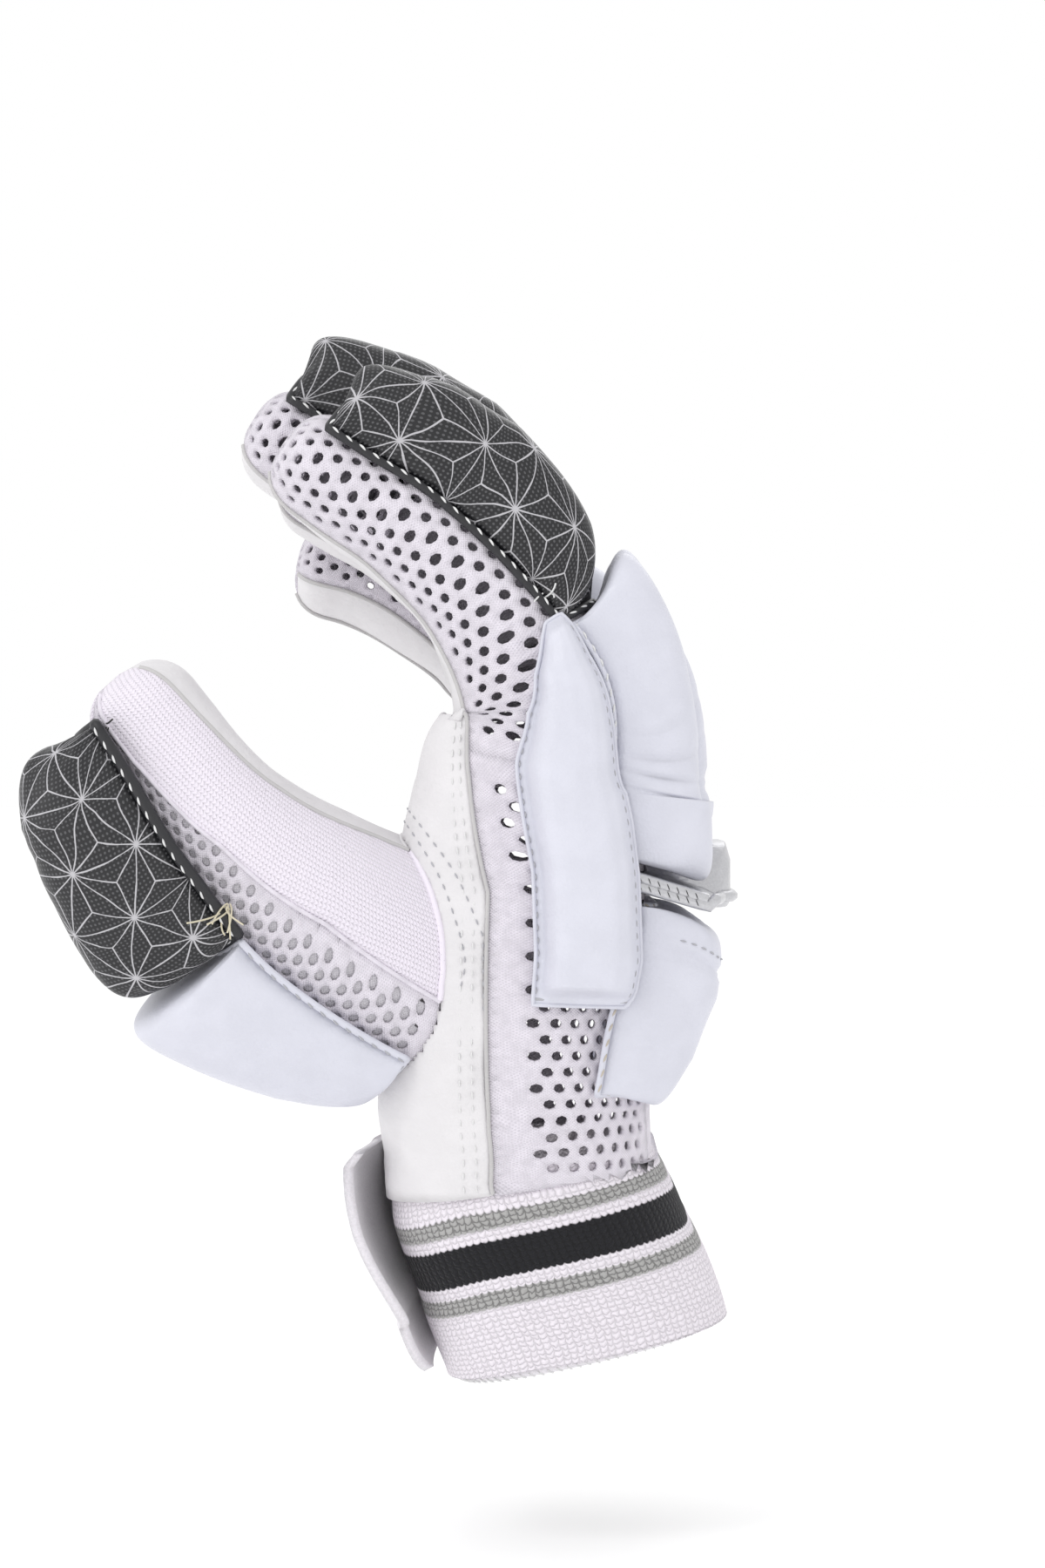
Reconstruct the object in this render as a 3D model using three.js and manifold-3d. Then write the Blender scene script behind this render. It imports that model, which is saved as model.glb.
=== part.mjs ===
// Cricket batting glove for the right hand, shown as worn, thumb side to the front.
// Millimetres. Z runs from the wrist to the fingers, X from the palm to the back of the
// hand, Y from the thumb side to the little-finger side.
// The origin is the middle of the wrist opening.

import * as THREE from 'three';
import { mergeVertices } from 'three/addons/utils/BufferGeometryUtils.js';
import Module from 'manifold-3d';

const wasm = await Module();
wasm.setup();

// Wall thicknesses and clearances
const CLEARANCE = 0.3;
const LEATHER = 1.6;
const MESH = 2.0;
const CLOTH = 1.8;
const KNIT = 2.6;
const STRAP = 2.6;
const FLANGE = 1.7;
const PAD_CLEARANCE = 0.55;

// Fold-over strap on the palm side of the cuff: stations, loose end and step over the hem
const STRAP_AT = { low: 0.6, high: 2.38, around: -120 };
const STRAP_LIFT = { rim: 4.6, middle: 5.6 };
const STRAP_STEP = { from: 1.2, to: 1.8 };

// Corner shape of the hollow sections: 2 is an ellipse, more is squarer
const CORNER = 2.5;
const PAD_CORNER = 3.0;

// Hand and fingers
const FINGER_PITCH = 28;
const FINGER_HALF = 13.7;
const LEAN = -4;
const HEM = 1.9;
const CUFF_TOP = 2.2;
const WEB = 7;
const WEB_GAP = 0.01;
const TIP = 11;
const TIP_ROUND = 10.35;

// Direction in which every finger leaves the hand, per station
const WEB_SLOPE = { x: -5.6, y: 0, z: 22.4 };

// Hand sections from the wrist opening to the webs of the fingers, given by the outside.
// deep is half the depth from palm to back, half is half the width, round the side's share.
const HAND_ROWS = [
  { x: 0.0, y: 0.0, z: 0.0, deep: 36.8, half: 42.0, round: 33, slope: { x: -4.6, y: -0.6, z: 22 } },
  { x: -8.4, y: -2.2, z: 21.6, deep: 35.6, half: 41.4, round: 32, slope: { x: -7.4, y: -2.2, z: 23 } },
  { x: -17.4, y: LEAN, z: 46.3, deep: 33.8, half: 42.2, round: 30, slope: { x: 0.5, y: -1.6, z: 20 } },
  { x: -18.2, y: LEAN, z: 61.0, deep: 34.0, half: 45.0, round: 25 },
  { x: -18.2, y: LEAN, z: 86.0, deep: 32.0, half: 49.5, round: 20 },
  { x: -16.9, y: LEAN, z: 115.0, deep: 31.0, half: 53.0, round: 17 },
  { x: -15.0, y: LEAN, z: 142.0, deep: 27.5, half: 55.2, round: 15 },
  { x: -12.4, y: LEAN, z: 163.3, deep: 22.5, half: 55.7, round: FINGER_HALF, slope: WEB_SLOPE },
];

// Finger sections beyond the webs. roll turns the palm side towards the thumb, in degrees.
const FINGERS = [
  {
    name: 'index',
    capEnd: 10.6,
    lane: -1.5,
    rows: [
      { x: -25.0, z: 186.0, deep: 16.4, half: 13.6, roll: 0 },
      { x: -43.2, z: 204.3, deep: 14.8, half: 13.4, roll: 0 },
      { x: -58.6, z: 214.6, deep: 14.0, half: 13.2, roll: 0 },
      { x: -75.0, z: 225.8, deep: 13.4, half: 13.0, roll: 0 },
    ],
  },
  {
    name: 'middle',
    capEnd: 10.72,
    lane: -0.5,
    rows: [
      { x: -26.5, z: 190.0, deep: 16.6, half: 13.6, roll: 0 },
      { x: -47.6, z: 211.4, deep: 15.0, half: 13.4, roll: 0 },
      { x: -65.8, z: 222.6, deep: 14.2, half: 13.2, roll: 0 },
      { x: -84.4, z: 234.2, deep: 13.4, half: 13.0, roll: 0 },
    ],
  },
  {
    name: 'ring',
    capEnd: 10.65,
    lane: 0.5,
    rows: [
      { x: -26.0, z: 188.0, deep: 16.4, half: 13.6, roll: 0 },
      { x: -46.0, z: 206.4, deep: 14.8, half: 13.4, roll: 0 },
      { x: -62.4, z: 215.8, deep: 14.0, half: 13.2, roll: 0 },
      { x: -77.4, z: 223.4, deep: 13.2, half: 12.8, roll: 0 },
    ],
  },
  {
    name: 'little',
    capEnd: 10.6,
    lane: 1.5,
    rows: [
      { x: -26.6, z: 179.0, deep: 15.4, half: 13.2, roll: 12 },
      { x: -43.6, z: 190.4, deep: 13.6, half: 12.6, roll: 24 },
      { x: -59.4, z: 197.6, deep: 12.8, half: 12.2, roll: 28 },
      { x: -76.6, z: 201.2, deep: 12.2, half: 11.8, roll: 28 },
    ],
  },
];

// Thumb sections from inside the palm to the tip
const THUMB_TIP = 5;
const THUMB_ROUND = 4.3;
const THUMB_ROWS = [
  { x: -12.0, y: -23, z: 87.0, deep: 29.0, half: 19.5 },
  { x: -38.0, y: -33, z: 95.5, deep: 28.0, half: 19.5 },
  { x: -67.5, y: -46, z: 112.6, deep: 24.0, half: 17.5 },
  { x: -88.0, y: -53, z: 131.6, deep: 17.6, half: 16.0 },
  { x: -103.5, y: -56, z: 153.0, deep: 14.4, half: 15.0 },
  { x: -114.5, y: -57, z: 168.6, deep: 13.4, half: 13.8 },
];

// Where the panels of the digits meet, as angles round the section from the palm side
const PALM_EDGE = 38;
const BACK_EDGE = 146;

// Borders of the gusset on the thumb side, station by station
const RADIAL_EDGES = [
  { at: 0.0, palm: 82, back: 165 },
  { at: 3.0, palm: 83, back: 162 },
  { at: 5.0, palm: 80, back: 160 },
  { at: 6.0, palm: 64, back: 155 },
  { at: 7.0, palm: 38, back: 148 },
  { at: 8.0, palm: 24, back: BACK_EDGE },
  { at: 11.0, palm: 24, back: BACK_EDGE },
];

// Borders of the thumb's panels
const THUMB_EDGES = [
  { at: 0.0, palm: 24, knit: 100, back: 158 },
  { at: 1.0, palm: 24, knit: 98, back: 158 },
  { at: 2.0, palm: 24, knit: 92, back: 160 },
  { at: 3.0, palm: 30, knit: 98, back: 156 },
  { at: 4.0, palm: 46, knit: 120, back: 152 },
  { at: 5.0, palm: 56, knit: 128, back: 150 },
];

// Black cap pads. seat is the binding's depth as a share of the finger's half depth,
// tall the height of the crown over the centre line at the knuckle end, middle and tip.
const CAP_MARGIN = 0.2;
const CAP = { start: [7.52, 7.92], tipLean: 0.24, seat: [0.62], tall: [33.6, 36.8, 34.0, 28.4] };
const CAP_SIDE = 13.4;

// White roll pads over the knuckles
const ROLLS = [
  { name: 'index', low: [5.36, 7.44], top: [5.1, 7.84], tall: [48.4, 45.4, 37.4, 37.8] },
  { name: 'middle', low: [5.66, 7.44], top: [5.66, 7.84], tall: [49.2, 46.0, 38.4, 38.4] },
  { name: 'ring', low: [5.66, 7.44], top: [5.66, 7.84], tall: [49.0, 45.6, 37.8, 38.0] },
  { name: 'little', low: [5.36, 7.44], top: [5.1, 7.84], tall: [47.0, 44.0, 36.4, 35.6] },
];
const ROLL_SEAT = [0.78, 0.74];

// Back pads between knuckles and wrist
const BACK_PAD = {
  low: [3.2, 4.96], top: [2.94, 4.78], tall: [36.0, 44.4, 50.0, 51.6], seat: [0.6, 0.7, 0.82, 0.92],
};

// Thumb pads
const THUMB_CAP = { low: [2.42, 4.6], top: [2.56, 4.88], seat: [0.74], tall: [51.6, 45.4, 41.0, 31.0] };
const THUMB_PAD = { low: [1.08, 2.36], top: [1.14, 2.5], seat: [0.78], tall: [39.6, 46.2, 50.6, 54.6] };
const THUMB_PAD_SIDE = 16.5;

// Lens-shaped pad on the thumb side: palm and back edge measured from the centre line
const SIDE_BAR_THICK = 11.5;
const SIDE_BAR_ROWS = [
  { at: 4.08, palm: 4.5, back: 27.0, full: 0.0 },
  { at: 4.16, palm: 4.5, back: 28.6, full: 0.16 },
  { at: 4.24, palm: 4.6, back: 29.4, full: 0.85 },
  { at: 4.50, palm: 4.8, back: 30.4, full: 1.0 },
  { at: 5.20, palm: 3.0, back: 28.6, full: 1.0 },
  { at: 5.70, palm: -0.5, back: 26.0, full: 1.0 },
  { at: 6.20, palm: -3.4, back: 22.4, full: 0.95 },
  { at: 6.80, palm: -2.8, back: 17.0, full: 0.85 },
  { at: 7.20, palm: 1.0, back: 14.6, full: 0.7 },
  { at: 7.46, palm: 6.5, back: 14.2, full: 0.4 },
  { at: 7.56, palm: 9.0, back: 13.4, full: 0.0 },
];

// Silver piped piece across the knuckles
const BRIDGE = {
  thick: 4.2, seatZ: 118.4, endZ: 112.6, reach: 32.6, knob: 36.4, knobHigh: 127.6, end: 53,
};

// Rows of round holes cut through the gusset
const HOLE = { across: 2.7, pitch: 5.7 };

// Materials, by the colour and finish of each cloth and leather
const MATERIALS = {
  whiteLeather: { color: 0xe4e6ee, roughness: 0.5, metalness: 0 },
  palmLeather: { color: 0xdedcda, roughness: 0.6, metalness: 0 },
  blackPrint: { color: 0x2a2b30, roughness: 0.5, metalness: 0 },
  mesh: { color: 0xe6e0ec, roughness: 0.95, metalness: 0 },
  knit: { color: 0xece6f0, roughness: 0.95, metalness: 0 },
  cuffKnit: { color: 0xe9e4ee, roughness: 0.95, metalness: 0 },
  loop: { color: 0xdcd8de, roughness: 0.95, metalness: 0 },
  silver: { color: 0xa9abb0, roughness: 0.4, metalness: 0.3 },
};

const glove = new THREE.Group();

// Small helpers for numbers

function mix(a, b, share) {
  return a + (b - a) * share;
}

function power(value, exponent) {
  return Math.sign(value) * Math.abs(value) ** exponent;
}

function smoothBetween(start, end, startSlope, endSlope, share) {
  const square = share * share;
  const cube = square * share;
  return start * (2 * cube - 3 * square + 1) + startSlope * (cube - 2 * square + share)
    + end * (3 * square - 2 * cube) + endSlope * (cube - square);
}

function listValue(list, share) {
  if (list.length === 1) return list[0];
  const place = share * (list.length - 1);
  const first = Math.min(Math.floor(place), list.length - 2);
  return mix(list[first], list[first + 1], place - first);
}

function tableValue(rows, at, column) {
  if (at <= rows[0].at) return rows[0][column];
  for (let i = 1; i < rows.length; i += 1) {
    if (at <= rows[i].at) {
      const share = (at - rows[i - 1].at) / (rows[i].at - rows[i - 1].at);
      return mix(rows[i - 1][column], rows[i][column], share);
    }
  }
  return rows[rows.length - 1][column];
}

// Stations where walls and pads have their rows
const MARKS = [2.3, 3, 4, 5, 6, 6.5, WEB, 7.5, 8, 8.5, 9, 9.5, 10, 10.4, 10.65, 10.85];
const PAD_MARKS = [3.6, 4, 4.5, 6, 6.5, WEB - WEB_GAP, 7.15, 8, 8.5, 9, 9.5, 10];
const THUMB_MARKS = [1, 1.5, 2, 2.5, 3, 3.5, 4, 4.35, 4.6, 4.85];

// A path of sections: centre, directions and half sizes at any station

function pathSlope(rows, station, column) {
  if (rows[station].slope && column in rows[station].slope) return rows[station].slope[column];
  const before = Math.max(0, station - 1);
  const after = Math.min(rows.length - 1, station + 1);
  return (rows[after][column] - rows[before][column]) / (after - before);
}

function pathValue(rows, at, column) {
  const first = Math.max(0, Math.min(Math.floor(at), rows.length - 2));
  return smoothBetween(
    rows[first][column],
    rows[first + 1][column],
    pathSlope(rows, first, column),
    pathSlope(rows, first + 1, column),
    at - first);
}

function makePath(rows, closing, backSign = 1) {
  const centreAt = (at) => new THREE.Vector3(
    pathValue(rows, at, 'x'), pathValue(rows, at, 'y'), pathValue(rows, at, 'z'));
  return (at) => {
    const step = 0.01;
    const along = centreAt(at + step).sub(centreAt(at - step)).normalize();
    const wide = new THREE.Vector3(0, 1, 0);
    wide.addScaledVector(along, -wide.dot(along)).normalize();
    const deepWay = new THREE.Vector3().crossVectors(wide, along);
    const roll = THREE.MathUtils.degToRad(pathValue(rows, at, 'roll'));
    const back = deepWay.clone().multiplyScalar(Math.cos(roll)).addScaledVector(wide, Math.sin(roll));
    const side = wide.clone().multiplyScalar(Math.cos(roll)).addScaledVector(deepWay, -Math.sin(roll));
    back.multiplyScalar(backSign);
    const round = pathValue(rows, at, 'round');
    let closed = 1;
    if (closing && at > closing.from) {
      const share = Math.min(1, (at - closing.from) / (closing.to - closing.from));
      closed = (1 - share ** 2.6) ** (1 / 2.6);
    }
    return {
      centre: centreAt(at),
      along,
      back,
      side,
      deep: pathValue(rows, at, 'deep'),
      round,
      flat: pathValue(rows, at, 'half') - round,
      closed,
    };
  };
}

function handRow(row) {
  return { ...row, roll: 0 };
}

function laneRow(row, lane) {
  return { ...row, y: row.y + lane * FINGER_PITCH, half: row.round, roll: 0 };
}

function fingerRow(row, lane) {
  return { ...row, y: LEAN + lane * FINGER_PITCH, round: row.half };
}

const handPath = makePath(HAND_ROWS.map(handRow));
const thumbPath = makePath(
  THUMB_ROWS.map((row) => ({ ...row, round: row.half, roll: 0 })),
  { from: THUMB_ROUND, to: THUMB_TIP },
  -1);

function fingerPath(finger) {
  const hand = HAND_ROWS.map((row) => laneRow(row, finger.lane));
  const beyond = finger.rows.map((row) => fingerRow(row, finger.lane));
  const own = makePath([...hand, ...beyond], { from: TIP_ROUND, to: TIP });
  return (at) => (at < WEB ? handPath(at) : own(at));
}

// A point of a section, by angle from the palm side, side shift and offset from the outside

function sectionPoint(section, angle, shift, offset) {
  const turn = THREE.MathUtils.degToRad(angle);
  const depth = power(Math.cos(turn), 2 / CORNER) * (section.deep + offset) * section.closed;
  const width = power(Math.sin(turn), 2 / CORNER) * (section.round + offset) * section.closed;
  return section.centre.clone()
    .addScaledVector(section.back, -depth)
    .addScaledVector(section.side, -width - shift)
    .addScaledVector(section.along, offset * (1 - section.closed));
}

// A point at a share of the way round between two angles, with the flat stretch between

function aroundPoint(section, low, high, share, offset) {
  const quarter = 0.8 * (section.deep + section.round);
  const middle = low < 0 && high > 0 ? 0 : 180;
  if (section.flat < 0.01 || low >= middle || high <= middle) {
    const side = Math.sin(THREE.MathUtils.degToRad((low + high) / 2)) < 0 ? -1 : 1;
    return sectionPoint(section, mix(low, high, share), side * section.flat, offset);
  }
  const before = middle === 0 ? -1 : 1;
  const first = (middle - low) / 90 * quarter;
  const last = (high - middle) / 90 * quarter;
  const total = first + 2 * section.flat + last;
  const along = share * total;
  if (along <= first) {
    return sectionPoint(section, mix(low, middle, along / first), before * section.flat, offset);
  }
  if (along < first + 2 * section.flat) {
    const shift = before * (section.flat - (along - first));
    return sectionPoint(section, middle, shift, offset);
  }
  const angle = mix(middle, high, (along - first - 2 * section.flat) / last);
  return sectionPoint(section, angle, -before * section.flat, offset);
}

// A closed wall between an outer and an inner net of points

function buildWall(rows, cols, outside, inside, { ring = false, pole = false } = {}) {
  const points = [];
  const faces = [];
  const netOf = (surface) => {
    const net = [];
    for (let i = 0; i <= rows; i += 1) {
      const line = [];
      for (let j = 0; j <= cols; j += 1) {
        if (ring && j === cols) {
          line.push(line[0]);
        } else if (pole && i === rows && j > 0) {
          line.push(line[0]);
        } else {
          line.push(points.length);
          points.push(surface(i, j));
        }
      }
      net.push(line);
    }
    return net;
  };
  const outer = netOf(outside);
  const inner = netOf(inside);
  const addFace = (a, b, c) => {
    if (a !== b && b !== c && a !== c) faces.push(a, b, c);
  };
  const addQuad = (a, b, c, d) => {
    addFace(a, b, c);
    addFace(a, c, d);
  };
  for (let i = 0; i < rows; i += 1) {
    for (let j = 0; j < cols; j += 1) {
      addQuad(outer[i][j], outer[i][j + 1], outer[i + 1][j + 1], outer[i + 1][j]);
      addQuad(inner[i][j], inner[i + 1][j], inner[i + 1][j + 1], inner[i][j + 1]);
    }
  }
  for (let j = 0; j < cols; j += 1) {
    addQuad(outer[0][j], inner[0][j], inner[0][j + 1], outer[0][j + 1]);
    if (!pole) addQuad(outer[rows][j], outer[rows][j + 1], inner[rows][j + 1], inner[rows][j]);
  }
  if (!ring) {
    for (let i = 0; i < rows; i += 1) {
      addQuad(outer[i][0], outer[i + 1][0], inner[i + 1][0], inner[i][0]);
      addQuad(outer[i][cols], inner[i][cols], inner[i + 1][cols], outer[i + 1][cols]);
    }
  }
  return geometryFrom(points, faces);
}

function signedVolume(points, faces) {
  let volume = 0;
  for (let k = 0; k < faces.length; k += 3) {
    const [a, b, c] = [points[faces[k]], points[faces[k + 1]], points[faces[k + 2]]];
    volume += a.dot(new THREE.Vector3().crossVectors(b, c));
  }
  return volume;
}

function geometryFrom(points, faces) {
  const outward = signedVolume(points, faces) > 0;
  const order = [];
  for (let k = 0; k < faces.length; k += 3) {
    order.push(faces[k], outward ? faces[k + 1] : faces[k + 2], outward ? faces[k + 2] : faces[k + 1]);
  }
  const geometry = new THREE.BufferGeometry();
  geometry.setAttribute('position', new THREE.Float32BufferAttribute(
    points.flatMap((point) => [point.x, point.y, point.z]), 3));
  geometry.setIndex(order);
  geometry.computeVertexNormals();
  return geometry;
}

// Boolean cuts between closed walls

function toSolid(geometry) {
  const plain = geometry.clone();
  plain.deleteAttribute('normal');
  plain.deleteAttribute('uv');
  const merged = mergeVertices(plain, 1e-4);
  return new wasm.Manifold(new wasm.Mesh({
    numProp: 3,
    vertProperties: new Float32Array(merged.attributes.position.array),
    triVerts: new Uint32Array(merged.index.array),
  }));
}

function fromSolid(solid) {
  const mesh = solid.getMesh();
  const geometry = new THREE.BufferGeometry();
  geometry.setAttribute('position', new THREE.Float32BufferAttribute(mesh.vertProperties, 3));
  geometry.setIndex([...mesh.triVerts]);
  geometry.computeVertexNormals();
  return geometry;
}

function cut(geometry, ...cutters) {
  let solid = toSolid(geometry);
  for (const cutter of cutters) solid = solid.subtract(toSolid(cutter));
  return fromSolid(solid);
}

function addPiece(name, material, geometry) {
  const mesh = new THREE.Mesh(geometry, new THREE.MeshStandardMaterial(MATERIALS[material]));
  mesh.name = name;
  glove.add(mesh);
}

// One panel of a hollow form: a wall between two stations and two borders

function stationsBetween(from, to, marks) {
  return [from, ...marks.filter((mark) => mark > from + 0.04 && mark < to - 0.02), to];
}

function panel(path, { from, to, low, high, wall, cols, pole = false, marks = MARKS }) {
  const edge = (value, at) => (typeof value === 'function' ? value(at) : value);
  const stations = stationsBetween(from, to, marks);
  const rows = stations.length - 1;
  const surface = (offset) => (i, j) => {
    const at = stations[i];
    const section = path(at);
    const inset = THREE.MathUtils.radToDeg(CLEARANCE / 2 / Math.max(4, section.round * section.closed));
    const lowAngle = edge(low, at) + inset;
    const highAngle = edge(high, at) - inset;
    if (pole && i === rows) {
      const turn = THREE.MathUtils.degToRad((lowAngle + highAngle) / 2);
      return section.centre.clone()
        .addScaledVector(section.back, -Math.cos(turn) * CLEARANCE)
        .addScaledVector(section.side, -Math.sin(turn) * CLEARANCE)
        .addScaledVector(section.along, offset);
    }
    return aroundPoint(section, lowAngle, highAngle, j / cols, offset);
  };
  return buildWall(rows, cols, surface(0), surface(-wall), { pole });
}

// A solid filling a path between two stations, out to an offset

function filledTube(path, from, to, offset, rows, cols) {
  const points = [];
  const faces = [];
  for (let i = 0; i <= rows; i += 1) {
    const section = path(mix(from, to, i / rows));
    for (let j = 0; j < cols; j += 1) {
      const angle = 360 * j / cols;
      const side = angle > 0 && angle < 180 ? 1 : -1;
      const shift = angle % 180 === 0 ? 0 : side * section.flat;
      points.push(sectionPoint(section, angle, shift, offset));
    }
  }
  const first = points.push(path(from).centre) - 1;
  const last = points.push(path(to).centre) - 1;
  for (let j = 0; j < cols; j += 1) {
    const next = (j + 1) % cols;
    for (let i = 0; i < rows; i += 1) {
      const low = i * cols;
      const high = low + cols;
      faces.push(low + j, low + next, high + next, low + j, high + next, high + j);
    }
    faces.push(first, next, j, last, rows * cols + j, rows * cols + next);
  }
  return geometryFrom(points, faces);
}

// A padded roll: it sits on the back of a path and rises to a rounded crown

function backDepth(section, width) {
  const over = Math.max(0, Math.abs(width) - section.flat) / section.round;
  return section.deep * (1 - Math.min(1, over) ** CORNER) ** (1 / CORNER);
}

function widthAtDepth(section, depth) {
  const share = Math.min(1, Math.max(0, depth / section.deep));
  return section.flat + section.round * (1 - share ** CORNER) ** (1 / CORNER);
}

// Shares of a pad's length near its ends, where it rises
const PAD_ENDS = [0.03];

function padRows([low, high], marks) {
  const inside = marks
    .map((mark) => (mark - low) / (high - low))
    .filter((share) => share > 0.09 && share < 0.91);
  const ends = [...PAD_ENDS].reverse().map((share) => 1 - share);
  return [0, ...PAD_ENDS, ...inside, ...ends, 1];
}

function pad(path, spec) {
  const { low, top, tall, seat, lane, creases = [], cols = 6, marks = PAD_MARKS } = spec;
  const shares = padRows(low, marks);
  const rows = shares.length - 1;
  const inside = (i, j) => {
    const at = mix(low[0], low[1], shares[i]);
    const section = path(at);
    const { left, right, leftOpen, rightOpen } = lane(section, at);
    const seatDepth = listValue(seat, shares[i]) * section.deep;
    const leftFoot = leftOpen ? -widthAtDepth(section, seatDepth) : left + 0.8;
    const rightFoot = rightOpen ? widthAtDepth(section, seatDepth) : right - 0.8;
    const width = mix(leftFoot, rightFoot, (1 - Math.cos(Math.PI * j / cols)) / 2);
    const depth = backDepth(section, width) + PAD_CLEARANCE;
    const spread = 1 + PAD_CLEARANCE / section.round;
    return section.centre.clone()
      .addScaledVector(section.back, depth)
      .addScaledVector(section.side, Math.abs(width) > section.flat ? width * spread : width);
  };
  const outside = (i, j) => {
    const share = shares[i];
    const turn = Math.PI * j / cols;
    const rise = Math.abs(Math.sin(turn)) ** (2 / PAD_CORNER);
    const ends = (1 - Math.abs(2 * share - 1) ** 9) ** (1 / 5);
    const at = mix(mix(low[0], low[1], share), mix(top[0], top[1], share), rise ** 3 * ends);
    const section = path(at);
    const { left, right, leftOpen, rightOpen } = lane(section, at);
    const squeeze = creaseDepth(creases, share);
    const seatDepth = listValue(seat, share) * section.deep;
    const leftSeat = leftOpen ? seatDepth : backDepth(section, left) + PAD_CLEARANCE;
    const rightSeat = rightOpen ? seatDepth : backDepth(section, right) + PAD_CLEARANCE;
    const middle = (left + right) / 2;
    const half = ((right - left) / 2 - squeeze * Math.min(1, rise * 1.4)) * mix(0.965, 1, ends);
    const width = middle - half * power(Math.cos(turn), 2 / PAD_CORNER);
    const base = mix(leftSeat, rightSeat, (1 - Math.cos(turn)) / 2);
    const floor = Math.max(base, backDepth(section, width) + PAD_CLEARANCE + FLANGE);
    const crown = mix(floor, listValue(tall, share) - squeeze, ends);
    const depth = mix(j === 0 || j === cols ? base : floor, crown, rise);
    return section.centre.clone()
      .addScaledVector(section.back, depth)
      .addScaledVector(section.side, width);
  };
  return buildWall(rows, cols, outside, inside);
}

function creaseDepth(creases, share) {
  let squeeze = 0;
  for (const crease of creases) {
    const away = (share - crease.at) / crease.spread;
    squeeze += crease.deep * Math.exp(-away * away);
  }
  return squeeze;
}

function fingerLane(half) {
  return () => ({ left: -half, right: half, leftOpen: true, rightOpen: true });
}

function rollLane(lane) {
  const onHand = handLane(lane);
  const onFinger = fingerLane(CAP_SIDE);
  return (section, at) => (at < WEB ? onHand(section) : onFinger(section));
}

// Lanes on the back of the hand: the four pads share its width

function handLane(lane) {
  return (section) => {
    const half = section.flat + section.round;
    const quarter = half / 2;
    const middle = lane / 2 * half;
    const gap = CLEARANCE * 1.5;
    const leftOpen = lane < -1;
    const rightOpen = lane > 1;
    return {
      left: middle - quarter / 2 + (leftOpen ? CLEARANCE : gap),
      right: middle + quarter / 2 - (rightOpen ? CLEARANCE : gap),
      leftOpen,
      rightOpen,
    };
  };
}

// Cuff

function cuffPoint(offset, rows, cols) {
  return (i, j) => {
    const section = handPath(mix(0, CUFF_TOP, i / rows));
    const angle = 360 * j / cols;
    const side = angle > 0 && angle < 180 ? 1 : -1;
    const shift = angle % 180 === 0 ? 0 : side * section.flat;
    return sectionPoint(section, angle, shift, offset);
  };
}

function wristband() {
  const rows = 5;
  const cols = 24;
  const outer = -MESH - CLEARANCE - 0.36;
  return buildWall(rows, cols, cuffPoint(outer, rows, cols), cuffPoint(outer - KNIT, rows, cols), {
    ring: true,
  });
}

function wristStrap() {
  const rows = 6;
  const cols = 9;
  const strapPoint = (thick) => (i, j) => {
    const share = i / rows;
    const at = mix(STRAP_AT.low, STRAP_AT.high, share);
    const section = handPath(at);
    const step = (at - STRAP_STEP.from) / (STRAP_STEP.to - STRAP_STEP.from);
    const base = mix(-MESH + 0.45, 3.6 * CLEARANCE, Math.min(1, Math.max(0, step)));
    const free = j / cols;
    const high = 14 + 18 * Math.sin(Math.PI * Math.min(1, share * 1.25));
    const loose = Math.max(0, (free - 0.5) / 0.5) ** 2;
    const lift = loose * (STRAP_LIFT.rim + STRAP_LIFT.middle * Math.sin(Math.PI * share ** 0.8));
    return aroundPoint(section, STRAP_AT.around, high, free, base + lift + thick);
  };
  return buildWall(rows, cols, strapPoint(STRAP), strapPoint(0));
}

// Hand

function radialEdge(column) {
  return (at) => tableValue(RADIAL_EDGES, at, column);
}

function palmLeather() {
  const panelWall = panel(handPath, {
    from: HEM,
    to: WEB - WEB_GAP,
    low: (at) => -tableValue(RADIAL_EDGES, at, 'palm'),
    high: radialEdge('palm'),
    wall: LEATHER,
    cols: 14,
  });
  const thumbHole = filledTube(thumbPath, 0, 2, 2 * CLEARANCE, 4, 20);
  return cut(panelWall, thumbHole);
}

function backCloth() {
  return panel(handPath, {
    from: HEM,
    to: WEB - WEB_GAP,
    low: radialEdge('back'),
    high: (at) => 360 - tableValue(RADIAL_EDGES, at, 'back'),
    wall: CLOTH,
    cols: 6,
  });
}

// Staggered holes through a gusset, between two stations and two angles

function holeCutters(path, fields) {
  const cutters = [];
  for (const field of fields) {
    const length = path(field.from).centre.distanceTo(path(field.to).centre);
    const lines = Math.round(length / (HOLE.pitch * 0.87));
    for (let i = 0; i <= lines; i += 1) {
      const at = mix(field.from, field.to, i / lines);
      const section = path(at);
      const low = tableValue(RADIAL_EDGES, at, 'palm') + field.inset[0];
      const high = Math.min(tableValue(RADIAL_EDGES, at, 'back'), field.limit ?? 180) - field.inset[1];
      const start = sectionPoint(section, low, section.flat, 0);
      const end = sectionPoint(section, high, section.flat, 0);
      const count = Math.max(1, Math.floor(start.distanceTo(end) / HOLE.pitch));
      for (let j = 0; j <= count; j += 1) {
        const share = (j + (i % 2) * 0.5) / (count + 0.5);
        cutters.push(holePrism(section, mix(low, high, share)));
      }
    }
  }
  return cutters;
}

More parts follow.
